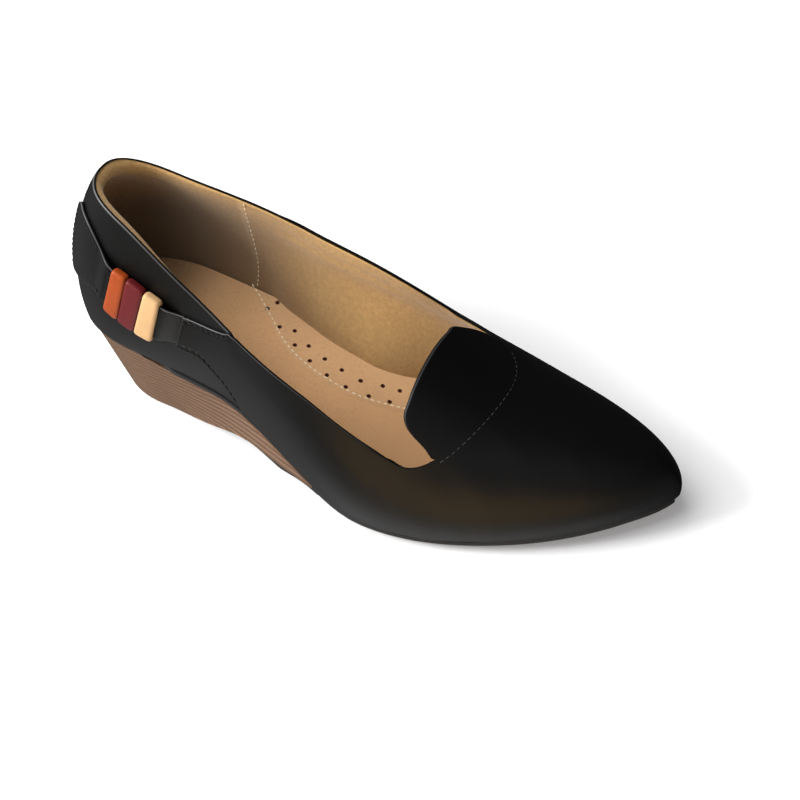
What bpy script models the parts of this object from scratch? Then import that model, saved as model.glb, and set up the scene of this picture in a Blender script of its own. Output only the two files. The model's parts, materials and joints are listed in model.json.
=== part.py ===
"""Pointed toe wedge pump for the right foot, at its real size.

Sizes are in millimetres and the objects in metres. X runs from the back of the heel to the toe,
Y to the inner side of the foot and Z up from the floor. Side -1 is the outer side, +1 the inner.
"""
import math

import bmesh
import bpy
import numpy as np

MM = 0.001
OUTER, INNER = -1, 1

# The last: length, widths, heights
LENGTH = 245.0
HEEL_CENTRE = 40.0
HEEL_POWER = 2.3
TOE_CENTRE = 216.0
TOE_POWER, TOE_ROOT = 1.67, 1.49
TOE_SWING = 13.8
SWING_START = 130.0
HALF_WIDTH = {
    OUTER: {"heel": 26.5, "waist_x": 71.0, "waist": 26.4, "ball_x": 145.0, "ball": 43.9},
    INNER: {"heel": 25.0, "waist_x": 92.0, "waist": 26.0, "ball_x": 168.0, "ball": 38.4},
}
FEATHER = {"x": (0, 40, 100, 160, 200, 246), "z": (36.5, 34.2, 22.2, 6.5, 7.3, 11.0)}
RIDGE = {"x": (40, 90, 130, 155, 180, 216), "z": (113, 118, 85.5, 65.2, 48.6, 36.0)}
SECTION = {
    "x": (0, 100, 165, 225),
    "bulge": (2.3, 4.9, 5.3, 3.4),
    "shoulder": (0.38, 0.42, 0.54, 0.56),
    "crown": (0.55, 0.75, 0.61, 0.61),
}
RIDGE_SLOPE_START, SLOPE_STEP = 180.0, 0.5
AXIS_SOFTNESS = 5.0

# The top line, and the throat from its two corners to its front
TOPLINE_X = (0, 40, 90, 130)
TOPLINE = {
    OUTER: {"z": (101.5, 94.0, 67.7, 55.5), "corner_x": 159.7, "corner_z": 39.2},
    INNER: {"z": (101.5, 90.0, 76.1, 61.1), "corner_x": 150.5, "corner_z": 48.5},
}
THROAT_X = 183.3

# Layers of leather, measured out from the face of the upper
WALL = 1.8
GAP = 0.3
OVERLAY = 1.0
TUCK = 7.0
OVERLAY_FOOT = 0.02

# The vamp's wing on the outer side, its seam on the inner side, and the flag and strap behind the wing
WING = {"x": (61.8, 64.5, 70.5, 78, 88, 100), "z": (49.6, 47.0, 40.5, 32.5, 25.5, 18)}
WING_TOP = {"x": (68.3, 76, 83, 90, 94), "z": (65.4, 65, 65.4, 67.3, 70)}
VAMP_START, VAMP_SEAM_X, VAMP_SEAM_LEAN = 45.0, 72.0, 6.0
CUT_BACK, CUT_LOW, CUT_HIGH, CUT_MIDDLE, CUT_SIDE = 30.0, 10.0, 110.0, 5.0, 90.0
FLAG_TOP = {
    "x": (2.5, 12, 25, 33, 39, 45.2, 53.2, 60.2, 67.4),
    "z": (93.5, 90.5, 85.2, 79, 75.5, 73.4, 70.3, 67.7, 65.4),
}
FLAG_BOTTOM = {
    "x": (2.5, 12, 25, 31, 37.2, 44.2, 52.2, 61),
    "z": (59, 60.5, 61.2, 59.5, 56.1, 53.1, 51.1, 50.2),
}
FLAG_START, FLAG_END, STRAP_START, STRAP_END = 2.5, 24.0, 27.0, 61.0
STRAP_LEAN, LEAN_START, LEAN_FULL = 7.0, 14.0, 31.0
STRAP_LIFT = 1.5
LIFT_START, LIFT_FULL, LIFT_LAST, LIFT_END = 24.0, 30.0, 54.0, 60.0

# The three loops around the strap: their edges along the top and along the bottom
LOOP_NAMES = ("loop_orange", "loop_burgundy", "loop_cream")
LOOP_TOP = {"x": (38.5, 45.2, 53.2, 60.2), "z": (77.3, 75.3, 72.2, 69.6)}
LOOP_BOTTOM = {"x": (31.0, 37.2, 44.2, 52.2), "z": (57.5, 54.2, 51.2, 49.2)}
LOOP_BAND, LOOP_ROUND = 1.2, 0.35
LOOP_CORNER, LOOP_SLOT_CORNER = 1.4, 0.1

# The throat tab
TAB = {
    "angle": (0, 8, 14, 22, 30, 38, 50, 90, 130, 145, 155, 165, 172, 180),
    "x": (171.5, 168.5, 166.2, 163.7, 161, 159.6, 159.3, 158.8, 158.3, 158, 160, 162.4, 164.6, 169),
    "w": (-31.6, -30.6, -30.3, -30, -28.8, -26.6, -22, -7, 9, 13.6, 17.4, 21.6, 24, 25.3),
}
TAB_FAN = 0.62

# Sole, wedge and heel lift
INSOLE, WELT = 2.0, 1.5
INSOLE_INSET = {"heel": 2.8, "toe": 2.8}
SOLE_INSET = {"heel": 0.7, "toe": 0.9}
HEEL_BASE_HALF, HEEL_BASE_BACK = 21.5, 11.8
LIFT, LIFT_FRONT, LIFT_INSET, LIFT_TAPER, LIFT_LEAST = 2.2, 48.0, 2.0, 0.4, 2.0
WEDGE_ARCH, WEDGE_ARCH_X, WEDGE_END = 12.0, 92.0, 124.0
LAYER, RIB_DEPTH, RIB_POWER, WEDGE_STEPS = 2.9, 0.55, 0.7, 8
RIB_LEVELS = (0.0, 0.2, 0.8)
WAIST_PLATE, PLATE_INSET, PLATE_END = 2.0, 3.0, 104.0
SOLE_EDGE, SOLE_BEVEL = 1.2, 5.5
TREAD_START, TREAD_END, TOE_SPRING, SPRING_POWER = 142.0, 196.0, 6.2, 1.8
GROOVE_DEPTH, GROOVE_HALF, GROOVE_WALL = 0.9, 0.45, 0.2
TREAD_RIM, RIM_SHARE, END_CLEAR = 4.0, 0.2, 0.2
LIFT_GROOVES, TREAD_GROOVES, GROOVE_CLEAR = 11, 10, 1.0
LIFT_BACK_PLAIN, LIFT_FRONT_PLAIN = 3.0, 1.0
GROOVES_FROM, GROOVES_TO = 144.0, 204.0

COLOURS = {
    "leather": (0.012, 0.012, 0.013, 0.42, 0.0),
    "tan": (0.52, 0.31, 0.13, 0.85, 0.0),
    "rubber": (0.018, 0.018, 0.02, 0.7, 0.0),
    "stacked": (0.30, 0.16, 0.09, 0.55, 0.0),
    "orange": (0.52, 0.11, 0.03, 0.5, 0.0),
    "burgundy": (0.11, 0.018, 0.028, 0.45, 0.0),
    "cream": (0.90, 0.62, 0.32, 0.5, 0.0),
}


def smooth(u):
    """A soft step from 0 to 1."""
    u = np.clip(u, 0.0, 1.0)
    return u * u * (3.0 - 2.0 * u)


def through(x, xs, ys):
    """A smooth curve through a short table, level beyond its ends."""
    xs, ys = np.asarray(xs, float), np.asarray(ys, float)
    x = np.clip(x, xs[0], xs[-1])
    slope = np.gradient(ys, xs)
    i = np.clip(np.searchsorted(xs, x) - 1, 0, len(xs) - 2)
    step = xs[i + 1] - xs[i]
    t = (x - xs[i]) / step
    rise = ys[i] + (ys[i + 1] - ys[i]) * t * t * (3 - 2 * t)
    return rise + step * (slope[i] * t * (1 - t) ** 2 - slope[i + 1] * t * t * (1 - t))


def centre(x):
    """The foot's middle line in plan, which swings inward at the toe."""
    u = np.clip((np.asarray(x, float) - SWING_START) / (LENGTH - SWING_START), 0, 1)
    return TOE_SWING * u ** 2


def half_width(side, x):
    """Width of the feather line from the middle line."""
    size = HALF_WIDTH[side]
    x = np.asarray(x, float)
    u = np.clip((HEEL_CENTRE - x) / HEEL_CENTRE, 0, 1)
    heel = size["heel"] * np.maximum(1 - u ** HEEL_POWER, 0) ** (1 / HEEL_POWER)
    to_waist = smooth((x - HEEL_CENTRE) / (size["waist_x"] - HEEL_CENTRE))
    waist = size["heel"] + (size["waist"] - size["heel"]) * to_waist
    to_ball = smooth((x - size["waist_x"]) / (size["ball_x"] - size["waist_x"]))
    ball = size["waist"] + (size["ball"] - size["waist"]) * to_ball
    t = np.clip((x - size["ball_x"]) / (LENGTH - size["ball_x"]), 0, 1)
    toe = size["ball"] * np.maximum(1 - t ** TOE_POWER, 0) ** (1 / TOE_ROOT)
    back = np.where(x < HEEL_CENTRE, heel, waist)
    return np.where(x < size["waist_x"], back, np.where(x < size["ball_x"], ball, toe))


def edge(side, x):
    return centre(x) + side * half_width(side, x)


def feather(x):
    """Height of the line where upper and sole meet."""
    return through(x, FEATHER["x"], FEATHER["z"])


def axis(x):
    """The middle line's station that a section at x leans to; heel and toe fan around one point each."""
    soft = AXIS_SOFTNESS
    x = x - soft * np.logaddexp(0, (x - TOE_CENTRE) / soft)
    return x + soft * np.logaddexp(0, (HEEL_CENTRE - x) / soft)


def ridge(x):
    return through(x, RIDGE["x"], RIDGE["z"])


def last(side, x, v):
    """Points of the last at station x and share v of the section, with the plan distance to the ridge."""
    x, v = np.broadcast_arrays(np.asarray(x, float), np.asarray(v, float))
    foot = np.stack([x, edge(side, x), feather(x)], -1)
    ax = axis(x)
    run = np.stack([ax - foot[..., 0], centre(ax) - foot[..., 1]], -1)
    reach = np.hypot(run[..., 0], run[..., 1])
    height = ridge(ax) - foot[..., 2]
    at = np.minimum(ax, TOE_CENTRE - SLOPE_STEP)
    slope = (ridge(at + SLOPE_STEP) - ridge(at - SLOPE_STEP)) / (2 * SLOPE_STEP)
    slope = np.where(x > RIDGE_SLOPE_START, slope * (x - ax), 0.0)
    shape = [through(x, SECTION["x"], SECTION[k]) for k in ("bulge", "shoulder", "crown")]
    bulge, shoulder, crown = shape
    b1, b2, b3 = 3 * (1 - v) ** 2 * v, 3 * (1 - v) * v ** 2, v ** 3
    inward = -b1 * bulge + b2 * reach * (1 - crown) + b3 * reach
    rise = b1 * shoulder * height + b2 * (height + slope * crown) + b3 * height
    plan = foot[..., :2] + run / reach[..., None] * inward[..., None]
    return np.concatenate([plan, (foot[..., 2] + rise)[..., None]], -1), reach - inward


def share_at(side, x, target, by_height):
    """Share of the section at a height, or at a plan distance from the ridge."""
    low, high = np.full(np.shape(x), 0.001), np.ones(np.shape(x))
    for _ in range(30):
        mid = (low + high) / 2
        points, left = last(side, x, mid)
        below = points[..., 2] < target if by_height else left > target
        low, high = np.where(below, mid, low), np.where(below, high, mid)
    return (low + high) / 2


def top_share(side, x, throat_x):
    """Share of the section at the top line, round the throat and, ahead of it, at the ridge."""
    line = TOPLINE[side]
    corner = line["corner_x"]
    x = np.asarray(x, float)
    heights = through(np.minimum(x, corner), TOPLINE_X + (corner,), line["z"] + (line["corner_z"],))
    behind = share_at(side, np.minimum(x, corner), heights, True)
    at_corner = share_at(side, np.array([corner]), np.array([line["corner_z"]]), True)
    half = last(side, np.array([corner]), at_corner)[1][0]
    u = np.clip((x - corner) / (throat_x - corner), 0, 1)
    ahead = share_at(side, x, half * np.sqrt(1 - u ** 2), False)
    return np.where(x <= corner, behind, np.where(x < throat_x, ahead, 1.0))


def facing(side, x, v):
    """The face's outward direction at a point of the last."""
    dx, dv = 0.05, 0.002
    x = np.clip(x, 0.3, LENGTH - 0.15)
    v = np.clip(v, dv, 1 - dv)
    along = last(side, x + dx, v)[0] - last(side, x - dx, v)[0]
    up = last(side, x, v + dv)[0] - last(side, x, v - dv)[0]
    normal = np.cross(along, up) * -side
    return normal / np.linalg.norm(normal, axis=-1, keepdims=True)


def skin(side, x, v, offset):
    """A point off the last, along its face."""
    values = [np.asarray(value, float) for value in (x, v, offset)]
    x, v, offset = np.broadcast_arrays(*values)
    return last(side, x, v)[0] + facing(side, x, v) * offset[..., None]


def stations(throat_x):
    """Section places along the foot, closer at heel, throat and toe."""
    heel = HEEL_CENTRE * (1 - np.sin(np.linspace(math.pi / 2, 0, 9)))
    side = np.linspace(49, 139, 11)
    corners = [TOPLINE[s]["corner_x"] for s in (OUTER, INNER)]
    throat = throat_x - np.array([26, 20, 15, 10, 6, 3, 1, 0])
    vamp = np.linspace(throat_x + 6, TOE_CENTRE - 2, 5)
    toe = TOE_CENTRE + (LENGTH - TOE_CENTRE) * np.sin(np.linspace(0.12, math.pi / 2, 9))
    places = sorted(np.concatenate([heel, side, corners, throat, vamp, toe]))
    spaced = [places[0]]
    for x in places[1:]:
        if x - spaced[-1] > 0.6 or x == LENGTH:
            spaced.append(x)
    return np.array(spaced)


def ridge_skin(x, offset):
    """A point off the ridge, where the two sides meet."""
    normal = facing(OUTER, x, 1.0) + facing(INNER, x, 1.0)
    normal /= np.linalg.norm(normal, axis=-1, keepdims=True)
    return last(OUTER, x, 1.0)[0] + normal * offset


def layer_points(x, throat_x, rows, foot_share, offset):
    """The closed strip of a layer round the foot: outer side to the toe, inner side back."""
    strips = []
    for side in (OUTER, INNER):
        top = top_share(side, x, throat_x)
        v = foot_share + (top - foot_share)[:, None] * np.linspace(0, 1, rows)[None, :]
        points = skin(side, x[:, None], v, offset)
        whole = top >= 1.0
        points[whole, -1] = ridge_skin(x[whole], offset)
        strips.append(points)
    outer, inner = strips
    for end in (0, -1):
        if x[end] in (0.0, LENGTH):
            outer[end] = inner[end] = (outer[end] + inner[end]) / 2
    return outer, inner


def new_object(name, mesh, colour):
    """An object in the shoe's collection, under its empty, with its own material."""
    part = bpy.data.objects.new(name, mesh)
    shoe.objects.link(part)
    part.parent = stand
    red, green, blue, roughness, metallic = COLOURS[colour]
    material = bpy.data.materials.new(name)
    material.use_nodes = True
    shader = material.node_tree.nodes["Principled BSDF"]
    shader.inputs["Base Color"].default_value = (red, green, blue, 1.0)
    shader.inputs["Roughness"].default_value = roughness
    shader.inputs["Metallic"].default_value = metallic
    mesh.materials.append(material)
    return part


def new_cutter(name, mesh):
    """A cutting form, which is never part of the shoe."""
    cutter = bpy.data.objects.new(name, mesh)
    cutters.objects.link(cutter)
    cutter.parent = stand
    cutter.hide_render = True
    cutter.display_type = "WIRE"
    return cutter


def mesh_of(name, points, faces, merge=0.01):
    """A mesh in metres from millimetre points, with its doubled points joined and its faces turned out."""
    body = bmesh.new()
    verts = [body.verts.new(p) for p in np.asarray(points, float).reshape(-1, 3) * MM]
    for face in faces:
        body.faces.new([verts[i] for i in face])
    bmesh.ops.remove_doubles(body, verts=body.verts, dist=merge * MM)
    bmesh.ops.dissolve_degenerate(body, edges=body.edges, dist=merge * MM)
    bmesh.ops.recalc_face_normals(body, faces=body.faces)
    mesh = bpy.data.meshes.new(name)
    body.to_mesh(mesh)
    body.free()
    mesh.shade_smooth()
    mesh.set_sharp_from_angle(angle=math.radians(40))
    return mesh


def grid_faces(columns, rows, start=0, turned=False):
    """Quads over a grid of points, column by column."""
    faces = []
    for i in range(columns - 1):
        for j in range(rows - 1):
            a = start + i * rows + j
            quad = (a, a + rows, a + rows + 1, a + 1)
            faces.append(quad[::-1] if turned else quad)
    return faces


def ring_faces(count, size, closed_ends=True):
    """Quads between rings of points, with the first and last ring filled."""
    faces = []
    for k in range(count - 1):
        for i in range(size):
            j = (i + 1) % size
            faces.append((k * size + i, k * size + j, (k + 1) * size + j, (k + 1) * size + i))
    if closed_ends:
        faces.append(tuple(range(size))[::-1])
        faces.append(tuple((count - 1) * size + i for i in range(size)))
    return faces


def strip_mesh(name, strips):
    """One open surface from the two sides of a layer, joined at heel, toe and ridge."""
    columns, rows = strips[0].shape[:2]
    points = np.concatenate([s.reshape(-1, 3) for s in strips])
    faces = grid_faces(columns, rows) + grid_faces(columns, rows, columns * rows, True)
    return mesh_of(name, points, faces)


def thicken(part, thickness, outward):
    """Give an open surface its thickness on one side."""
    wall = part.modifiers.new("wall", "SOLIDIFY")
    wall.thickness = thickness * MM
    wall.offset = 1.0 if outward else -1.0
    wall.use_quality_normals = True


def cut(part, cutter):
    trim = part.modifiers.new("trim", "BOOLEAN")
    trim.operation = "DIFFERENCE"
    trim.object = cutter


def prism(name, outline, low, high):
    """A cutter: an outline in side view, from one width to another."""
    rings = [[(x, y, z) for x, z in outline] for y in (low, high)]
    return new_cutter(name, mesh_of(name, rings, ring_faces(2, len(outline))))


def make_upper():
    """The hollow upper, open at the collar and throat and underneath."""
    throat = THROAT_X + TUCK
    strips = layer_points(stations(throat), throat, 10, 0.0, 0.0)
    part = new_object("upper", strip_mesh("upper", strips), "leather")
    thicken(part, WALL, False)


def make_vamp():
    """The vamp: a second layer over toe and sides, with a wing that runs back on the outer side."""
    x = stations(THROAT_X)
    x = x[x > VAMP_START]
    strips = layer_points(x, THROAT_X, 10, OVERLAY_FOOT, GAP)
    part = new_object("vamp", strip_mesh("vamp", strips), "leather")
    thicken(part, OVERLAY, True)
    behind = [(CUT_BACK, CUT_LOW), (WING["x"][-1], CUT_LOW)]
    behind += list(zip(WING["x"], WING["z"]))[::-1]
    behind += list(zip(WING_TOP["x"], WING_TOP["z"]))
    behind += [(WING["x"][-1], CUT_HIGH), (CUT_BACK, CUT_HIGH)]
    cut(part, prism("wing_cut", behind, OUTER * CUT_SIDE, OUTER * CUT_MIDDLE))
    seam = [(CUT_BACK, CUT_LOW), (VAMP_SEAM_X + VAMP_SEAM_LEAN, CUT_LOW)]
    seam += [(VAMP_SEAM_X, CUT_HIGH), (CUT_BACK, CUT_HIGH)]
    cut(part, prism("seam_cut", seam, INNER * CUT_MIDDLE, INNER * CUT_SIDE))


def strap_offset(x):
    """Height of the strap's underside off the upper: it rises to pass through the loops."""
    up = smooth((x - LIFT_START) / (LIFT_FULL - LIFT_START))
    down = smooth((x - LIFT_LAST) / (LIFT_END - LIFT_LAST))
    return GAP + STRAP_LIFT * up * (1 - down)


def make_side_strap():
    """The flag on the heel and the strap that runs on from it through the loops to the wing."""
    xs = np.append(np.linspace(FLAG_START, FLAG_END, 6), np.linspace(STRAP_START, STRAP_END, 14))
    rows = np.linspace(0, 1, 6)
    lean = STRAP_LEAN * smooth((xs - LEAN_START) / (LEAN_FULL - LEAN_START))
    x = xs[:, None] + lean[:, None] * rows
    top = through(x[:, -1], FLAG_TOP["x"], FLAG_TOP["z"])
    bottom = through(xs, FLAG_BOTTOM["x"], FLAG_BOTTOM["z"])
    height = bottom[:, None] + (top - bottom)[:, None] * rows
    v = share_at(OUTER, x, height, True)
    points = skin(OUTER, x, v, strap_offset(xs)[:, None])
    mesh = mesh_of("side_strap", points, grid_faces(len(xs), len(rows), 0, True))
    part = new_object("side_strap", mesh, "leather")
    thicken(part, OVERLAY, True)


def loop_ring(along, band, corner):
    """A ring round the strap in a slanted section: along places it, band is its thickness off the slot."""
    top = [np.interp(along, range(4), LOOP_TOP[k]) for k in ("x", "z")]
    bottom = [np.interp(along, range(4), LOOP_BOTTOM[k]) for k in ("x", "z")]
    tall = math.dist(top, bottom)
    low, high = LOOP_BAND - band, tall - LOOP_BAND + band
    near, far = STRAP_LIFT - band, STRAP_LIFT + OVERLAY + 2 * GAP + band
    ring = []
    for turn, (across, off) in enumerate(((low, near), (high, near), (high, far), (low, far))):
        for swing in (-0.25, 0.0, 0.25):
            angle = math.pi * (1.25 + 0.5 * turn + swing)
            ring.append((
                across + (math.cos(angle) - math.copysign(1, across - tall / 2)) * corner,
                off + (math.sin(angle) - math.copysign(1, off - (near + far) / 2)) * corner,
            ))
    share, off = np.array(ring).T
    x = bottom[0] + (top[0] - bottom[0]) * share / tall
    z = bottom[1] + (top[1] - bottom[1]) * share / tall
    return skin(OUTER, x, share_at(OUTER, x, z, True), off)


def make_loops():
    """Three soft bands side by side round the strap."""
    colours = ("orange", "burgundy", "cream")
    for k, (name, colour) in enumerate(zip(LOOP_NAMES, colours)):
        steps = np.linspace(k + 0.02, k + 0.98, 5)
        swell = LOOP_BAND - LOOP_ROUND * np.abs(np.linspace(-1, 1, 5)) ** 3
        outside = [loop_ring(a, s, LOOP_CORNER) for a, s in zip(steps, swell)]
        inside = [loop_ring(a, 0.0, LOOP_SLOT_CORNER) for a in steps][::-1]
        rings = outside + inside + outside[:1]
        size = len(outside[0])
        faces = ring_faces(len(rings), size, False)
        mesh = mesh_of(name, rings, faces)
        new_object(name, mesh, colour)


def make_throat_tab():
    """The tab that rises from under the vamp's throat and lies over the instep."""
    angles = np.linspace(0, 180, 21)
    throat = THROAT_X + TUCK
    back_x, back_w = (through(angles, TAB["angle"], TAB[k]) for k in ("x", "w"))
    front_x, front_w = [], []
    for degrees in angles:
        side = OUTER if degrees < 90 else INNER
        corner = TOPLINE[side]["corner_x"]
        at = share_at(side, np.array([corner]), np.array([TOPLINE[side]["corner_z"]]), True)
        half = last(side, np.array([corner]), at)[1][0] - 2 * GAP
        reach = math.radians(abs(90 - degrees) * TAB_FAN)
        front_x.append(corner + (throat - 2 * GAP - corner) * math.cos(reach))
        front_w.append(side * half * math.sin(reach))
    rows = np.linspace(0, 1, 7)
    x = np.array(front_x)[:, None] * (1 - rows) + back_x[:, None] * rows
    w = np.array(front_w)[:, None] * (1 - rows) + back_w[:, None] * rows
    points = np.empty(x.shape + (3,))
    for side in (OUTER, INNER):
        here = (w < 0) if side == OUTER else (w >= 0)
        v = share_at(side, x[here], np.abs(w[here]), False)
        v = np.where(np.abs(w[here]) < 0.05, 1.0, v)
        points[here] = skin(side, x[here], v, -GAP)
    part = new_object("throat_tab", mesh_of("throat_tab", points, grid_faces(*x.shape)), "leather")
    thicken(part, WALL, False)


def plate(name, colour, x, sections):
    """A solid through flat sections along the foot."""
    rings = np.array(sections)
    mesh = mesh_of(name, rings, ring_faces(len(x), rings.shape[1]))
    return new_object(name, mesh, colour)


def plate_stations(inset):
    """The upper's own stations, drawn in from heel and toe by the inset."""
    x = stations(THROAT_X + TUCK)
    start, end = inset["heel"] + END_CLEAR, LENGTH - inset["toe"] - END_CLEAR
    return start + x * (end - start) / LENGTH


def inset_edge(side, x, inset):
    """The feather line moved in or out in plan, by one depth at the heel and another at the toe."""
    heel, toe = inset["heel"], inset["toe"]
    whole = np.clip((x - heel) * LENGTH / (LENGTH - heel - toe), 0.0, LENGTH)
    depth = heel + (toe - heel) * smooth(whole / LENGTH)
    size = half_width(side, whole)
    broad = HALF_WIDTH[side]["heel"] / 2
    shrink = depth / np.maximum(size, broad) * np.minimum(size / broad, 1)
    return centre(whole) + side * size * (1 - shrink)


def make_plate(name, colour, inset, low, high):
    """A thin plate along the feather line, between two heights off it."""
    x = plate_stations(inset)
    sections = []
    for a in x:
        ends = [inset_edge(side, a, inset) for side in (OUTER, INNER)]
        under = [(a, y, feather(a) + low) for y in ends]
        over = [(a, y, feather(a) + high) for y in ends[::-1]]
        sections.append(under + over)
    plate(name, colour, x, sections)


def wedge_top(x):
    return feather(x) - 2 * GAP - WELT


def wedge_bottom(x):
    """The wedge's underside: level on the heel lift, then arched under the waist."""
    heel = LIFT + GAP
    return heel + (WEDGE_ARCH - heel) * smooth((x - LIFT_FRONT) / (WEDGE_ARCH_X - LIFT_FRONT))


def wedge_ring(z, steps):
    """The wedge's outline at one height, ribbed like a stack of leather layers."""
    rib = RIB_DEPTH * (1 - abs(math.sin(math.pi * (z - LIFT) / LAYER)) ** RIB_POWER)
    up = z / FEATHER["z"][0]
    back = HEEL_BASE_BACK * (1 - up) + rib
    sides = []
    for side in (OUTER, INNER):
        turn = np.linspace(0, math.pi / 2, 9)
        base = HEEL_BASE_HALF + (HALF_WIDTH[side]["heel"] - HEEL_BASE_HALF) * np.minimum(up, 1.0) - rib
        xs = HEEL_CENTRE - (HEEL_CENTRE - back) * np.cos(turn)
        ys = base * np.sin(turn) ** (2 / HEEL_POWER)
        ahead = np.linspace(HEEL_CENTRE, WEDGE_END, steps)[1:]
        share = np.clip(z / feather(ahead), 0.0, 1.15)
        ball = smooth((ahead - HEEL_CENTRE) / (SWING_START - HEEL_CENTRE))
        bottom = HEEL_BASE_HALF + (half_width(side, np.array(SWING_START)) - HEEL_BASE_HALF) * ball
        widths = bottom + (half_width(side, ahead) - bottom) * share - rib
        sides.append(np.stack([np.append(xs, ahead), side * np.append(ys, widths)], -1))
    outline = np.concatenate([sides[0][::-1], sides[1][1:]])
    return [(x, y, z) for x, y in outline]


def make_wedge():
    """The stacked wedge, cut by the welt above and by the arch below."""
    count = math.ceil((FEATHER["z"][0] - LIFT) / LAYER) + 1
    heights = [LIFT - GAP]
    for k in range(count):
        heights += [LIFT + LAYER * (k + s) for s in RIB_LEVELS]
    rings = [wedge_ring(z, WEDGE_STEPS) for z in heights[:-2]]
    mesh = mesh_of("wedge", rings, ring_faces(len(rings), len(rings[0])))
    part = new_object("wedge", mesh, "stacked")
    places = np.concatenate([[-CUT_LOW], np.linspace(0, WEDGE_END + CUT_LOW, 24)])
    above = [(x, wedge_top(x)) for x in places] + [(places[-1], CUT_HIGH), (places[0], CUT_HIGH)]
    below = [(x, wedge_bottom(x)) for x in places[::-1]] + [(places[0], -CUT_LOW), (places[-1], -CUT_LOW)]
    cut(part, prism("top_cut", above, -CUT_SIDE, CUT_SIDE))
    cut(part, prism("arch_cut", below, -CUT_SIDE, CUT_SIDE))


def tread(x0, x1, count):
    """Stations across a row of grooves, with how deep the tread is at each."""
    places = []
    pitch = (x1 - x0) / count
    for k in range(count):
        mid = x0 + pitch * (k + 0.5)
        places += [(mid - GROOVE_HALF - GROOVE_WALL, 0.0), (mid - GROOVE_HALF, GROOVE_DEPTH)]
        places += [(mid + GROOVE_HALF, GROOVE_DEPTH), (mid + GROOVE_HALF + GROOVE_WALL, 0.0)]
    return places


def with_tread(xs, grooves):
    """Plain stations and groove stations in one row."""
    plain = [(x, 0.0) for x in xs if all(abs(x - g) > GROOVE_CLEAR for g, _ in grooves)]
    return sorted(plain + grooves)


def base_half(side, x):
    """Width of the wedge at its foot."""
    u = np.clip((HEEL_CENTRE - x) / (HEEL_CENTRE - HEEL_BASE_BACK), 0, 1)
    heel = HEEL_BASE_HALF * np.maximum(1 - u ** HEEL_POWER, 0) ** (1 / HEEL_POWER)
    ball = smooth((x - HEEL_CENTRE) / (SWING_START - HEEL_CENTRE))
    ahead = HEEL_BASE_HALF + (half_width(side, np.array(SWING_START)) - HEEL_BASE_HALF) * ball
    return heel if x < HEEL_CENTRE else ahead


def sole_section(x, ends, heights, depth, bevel):
    """A section of a tread: a low wall and a bevel at each edge, then a rim, and a grooved field between."""
    low, high = ends
    bottom, top = heights
    wall = max(top - SOLE_EDGE, (top + bottom) / 2)
    rim = min(TREAD_RIM, (high - low) * RIM_SHARE)
    bevel = min(bevel, (high - low) * RIM_SHARE)
    return [
        (x, low, top), (x, high, top), (x, high, wall),
        (x, high - bevel, bottom), (x, high - bevel - rim, bottom + depth),
        (x, low + bevel + rim, bottom + depth), (x, low + bevel, bottom), (x, low, wall),
    ]


def make_heel_lift():
    """The rubber lift under the heel, ribbed across."""
    start = HEEL_BASE_BACK + LIFT_INSET
    turn = np.linspace(math.pi / 2, 0, 9)
    xs = list(HEEL_CENTRE - (HEEL_CENTRE - start) * np.sin(turn)) + [LIFT_FRONT]
    rows = with_tread(xs, tread(start + LIFT_BACK_PLAIN, LIFT_FRONT - LIFT_FRONT_PLAIN, LIFT_GROOVES))
    sections = []
    for x, depth in rows:
        sizes = [max(base_half(side, x) - LIFT_INSET, LIFT_LEAST) for side in (OUTER, INNER)]
        sections.append(sole_section(x, (-sizes[0], sizes[1]), (0.0, LIFT), depth, LIFT_TAPER))
    plate("heel_lift", "rubber", rows, sections)


def sole_bottom(x):
    """The outsole's underside: thin under the arch, flat under the ball, sprung at the toe."""
    waist = wedge_bottom(x) - GAP - WAIST_PLATE
    rise = 1 - smooth((x - WEDGE_ARCH_X) / (TREAD_START - WEDGE_ARCH_X))
    spring = TOE_SPRING * max(0.0, (x - TREAD_END) / (LENGTH - TREAD_END)) ** SPRING_POWER
    return waist * rise + spring


def sole_top(x):
    return (wedge_bottom(x) if x <= WEDGE_END + GAP else wedge_top(x)) - GAP


def make_outsole():
    """The black outsole from the heel lift's step to the toe."""
    xs = list(np.linspace(LIFT_FRONT + 2 * GAP, WEDGE_END + GAP, 13))
    xs += list(np.linspace(WEDGE_END + 2 * GAP, TREAD_START - GROOVE_CLEAR, 4))
    xs += [x for x in plate_stations(SOLE_INSET) if x > TREAD_START]
    rows = with_tread(xs, tread(GROOVES_FROM, GROOVES_TO, TREAD_GROOVES))
    sections = []
    for x, depth in rows:
        blend = smooth((x - PLATE_END) / (WEDGE_END - PLATE_END))
        ends = []
        for side in (OUTER, INNER):
            plain = side * (base_half(side, min(x, SWING_START)) - PLATE_INSET)
            ends.append(plain + (inset_edge(side, x, SOLE_INSET) - plain) * blend)
        heights = sole_bottom(x), sole_top(x)
        sections.append(sole_section(x, ends, heights, depth, SOLE_BEVEL * blend + LIFT_TAPER))
    plate("outsole", "rubber", rows, sections)


def centre_stand():
    """Stand the shoe with the middle of its box over the origin."""
    bpy.context.view_layer.update()
    graph = bpy.context.evaluated_depsgraph_get()
    corners = []
    for part in shoe.objects:
        if part.type == "MESH":
            corners += [v.co[:] for v in part.evaluated_get(graph).data.vertices]
    corners = np.array(corners)
    middle = (corners.min(axis=0) + corners.max(axis=0)) / 2
    stand.location = (-middle[0], -middle[1], 0.0)


for old in list(bpy.data.objects):
    bpy.data.objects.remove(old)
shoe = bpy.data.collections.new("pointed_toe_wedge_pump")
cutters = bpy.data.collections.new("cutters")
bpy.context.scene.collection.children.link(shoe)
bpy.context.scene.collection.children.link(cutters)
stand = bpy.data.objects.new("stand", None)
shoe.objects.link(stand)

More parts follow.
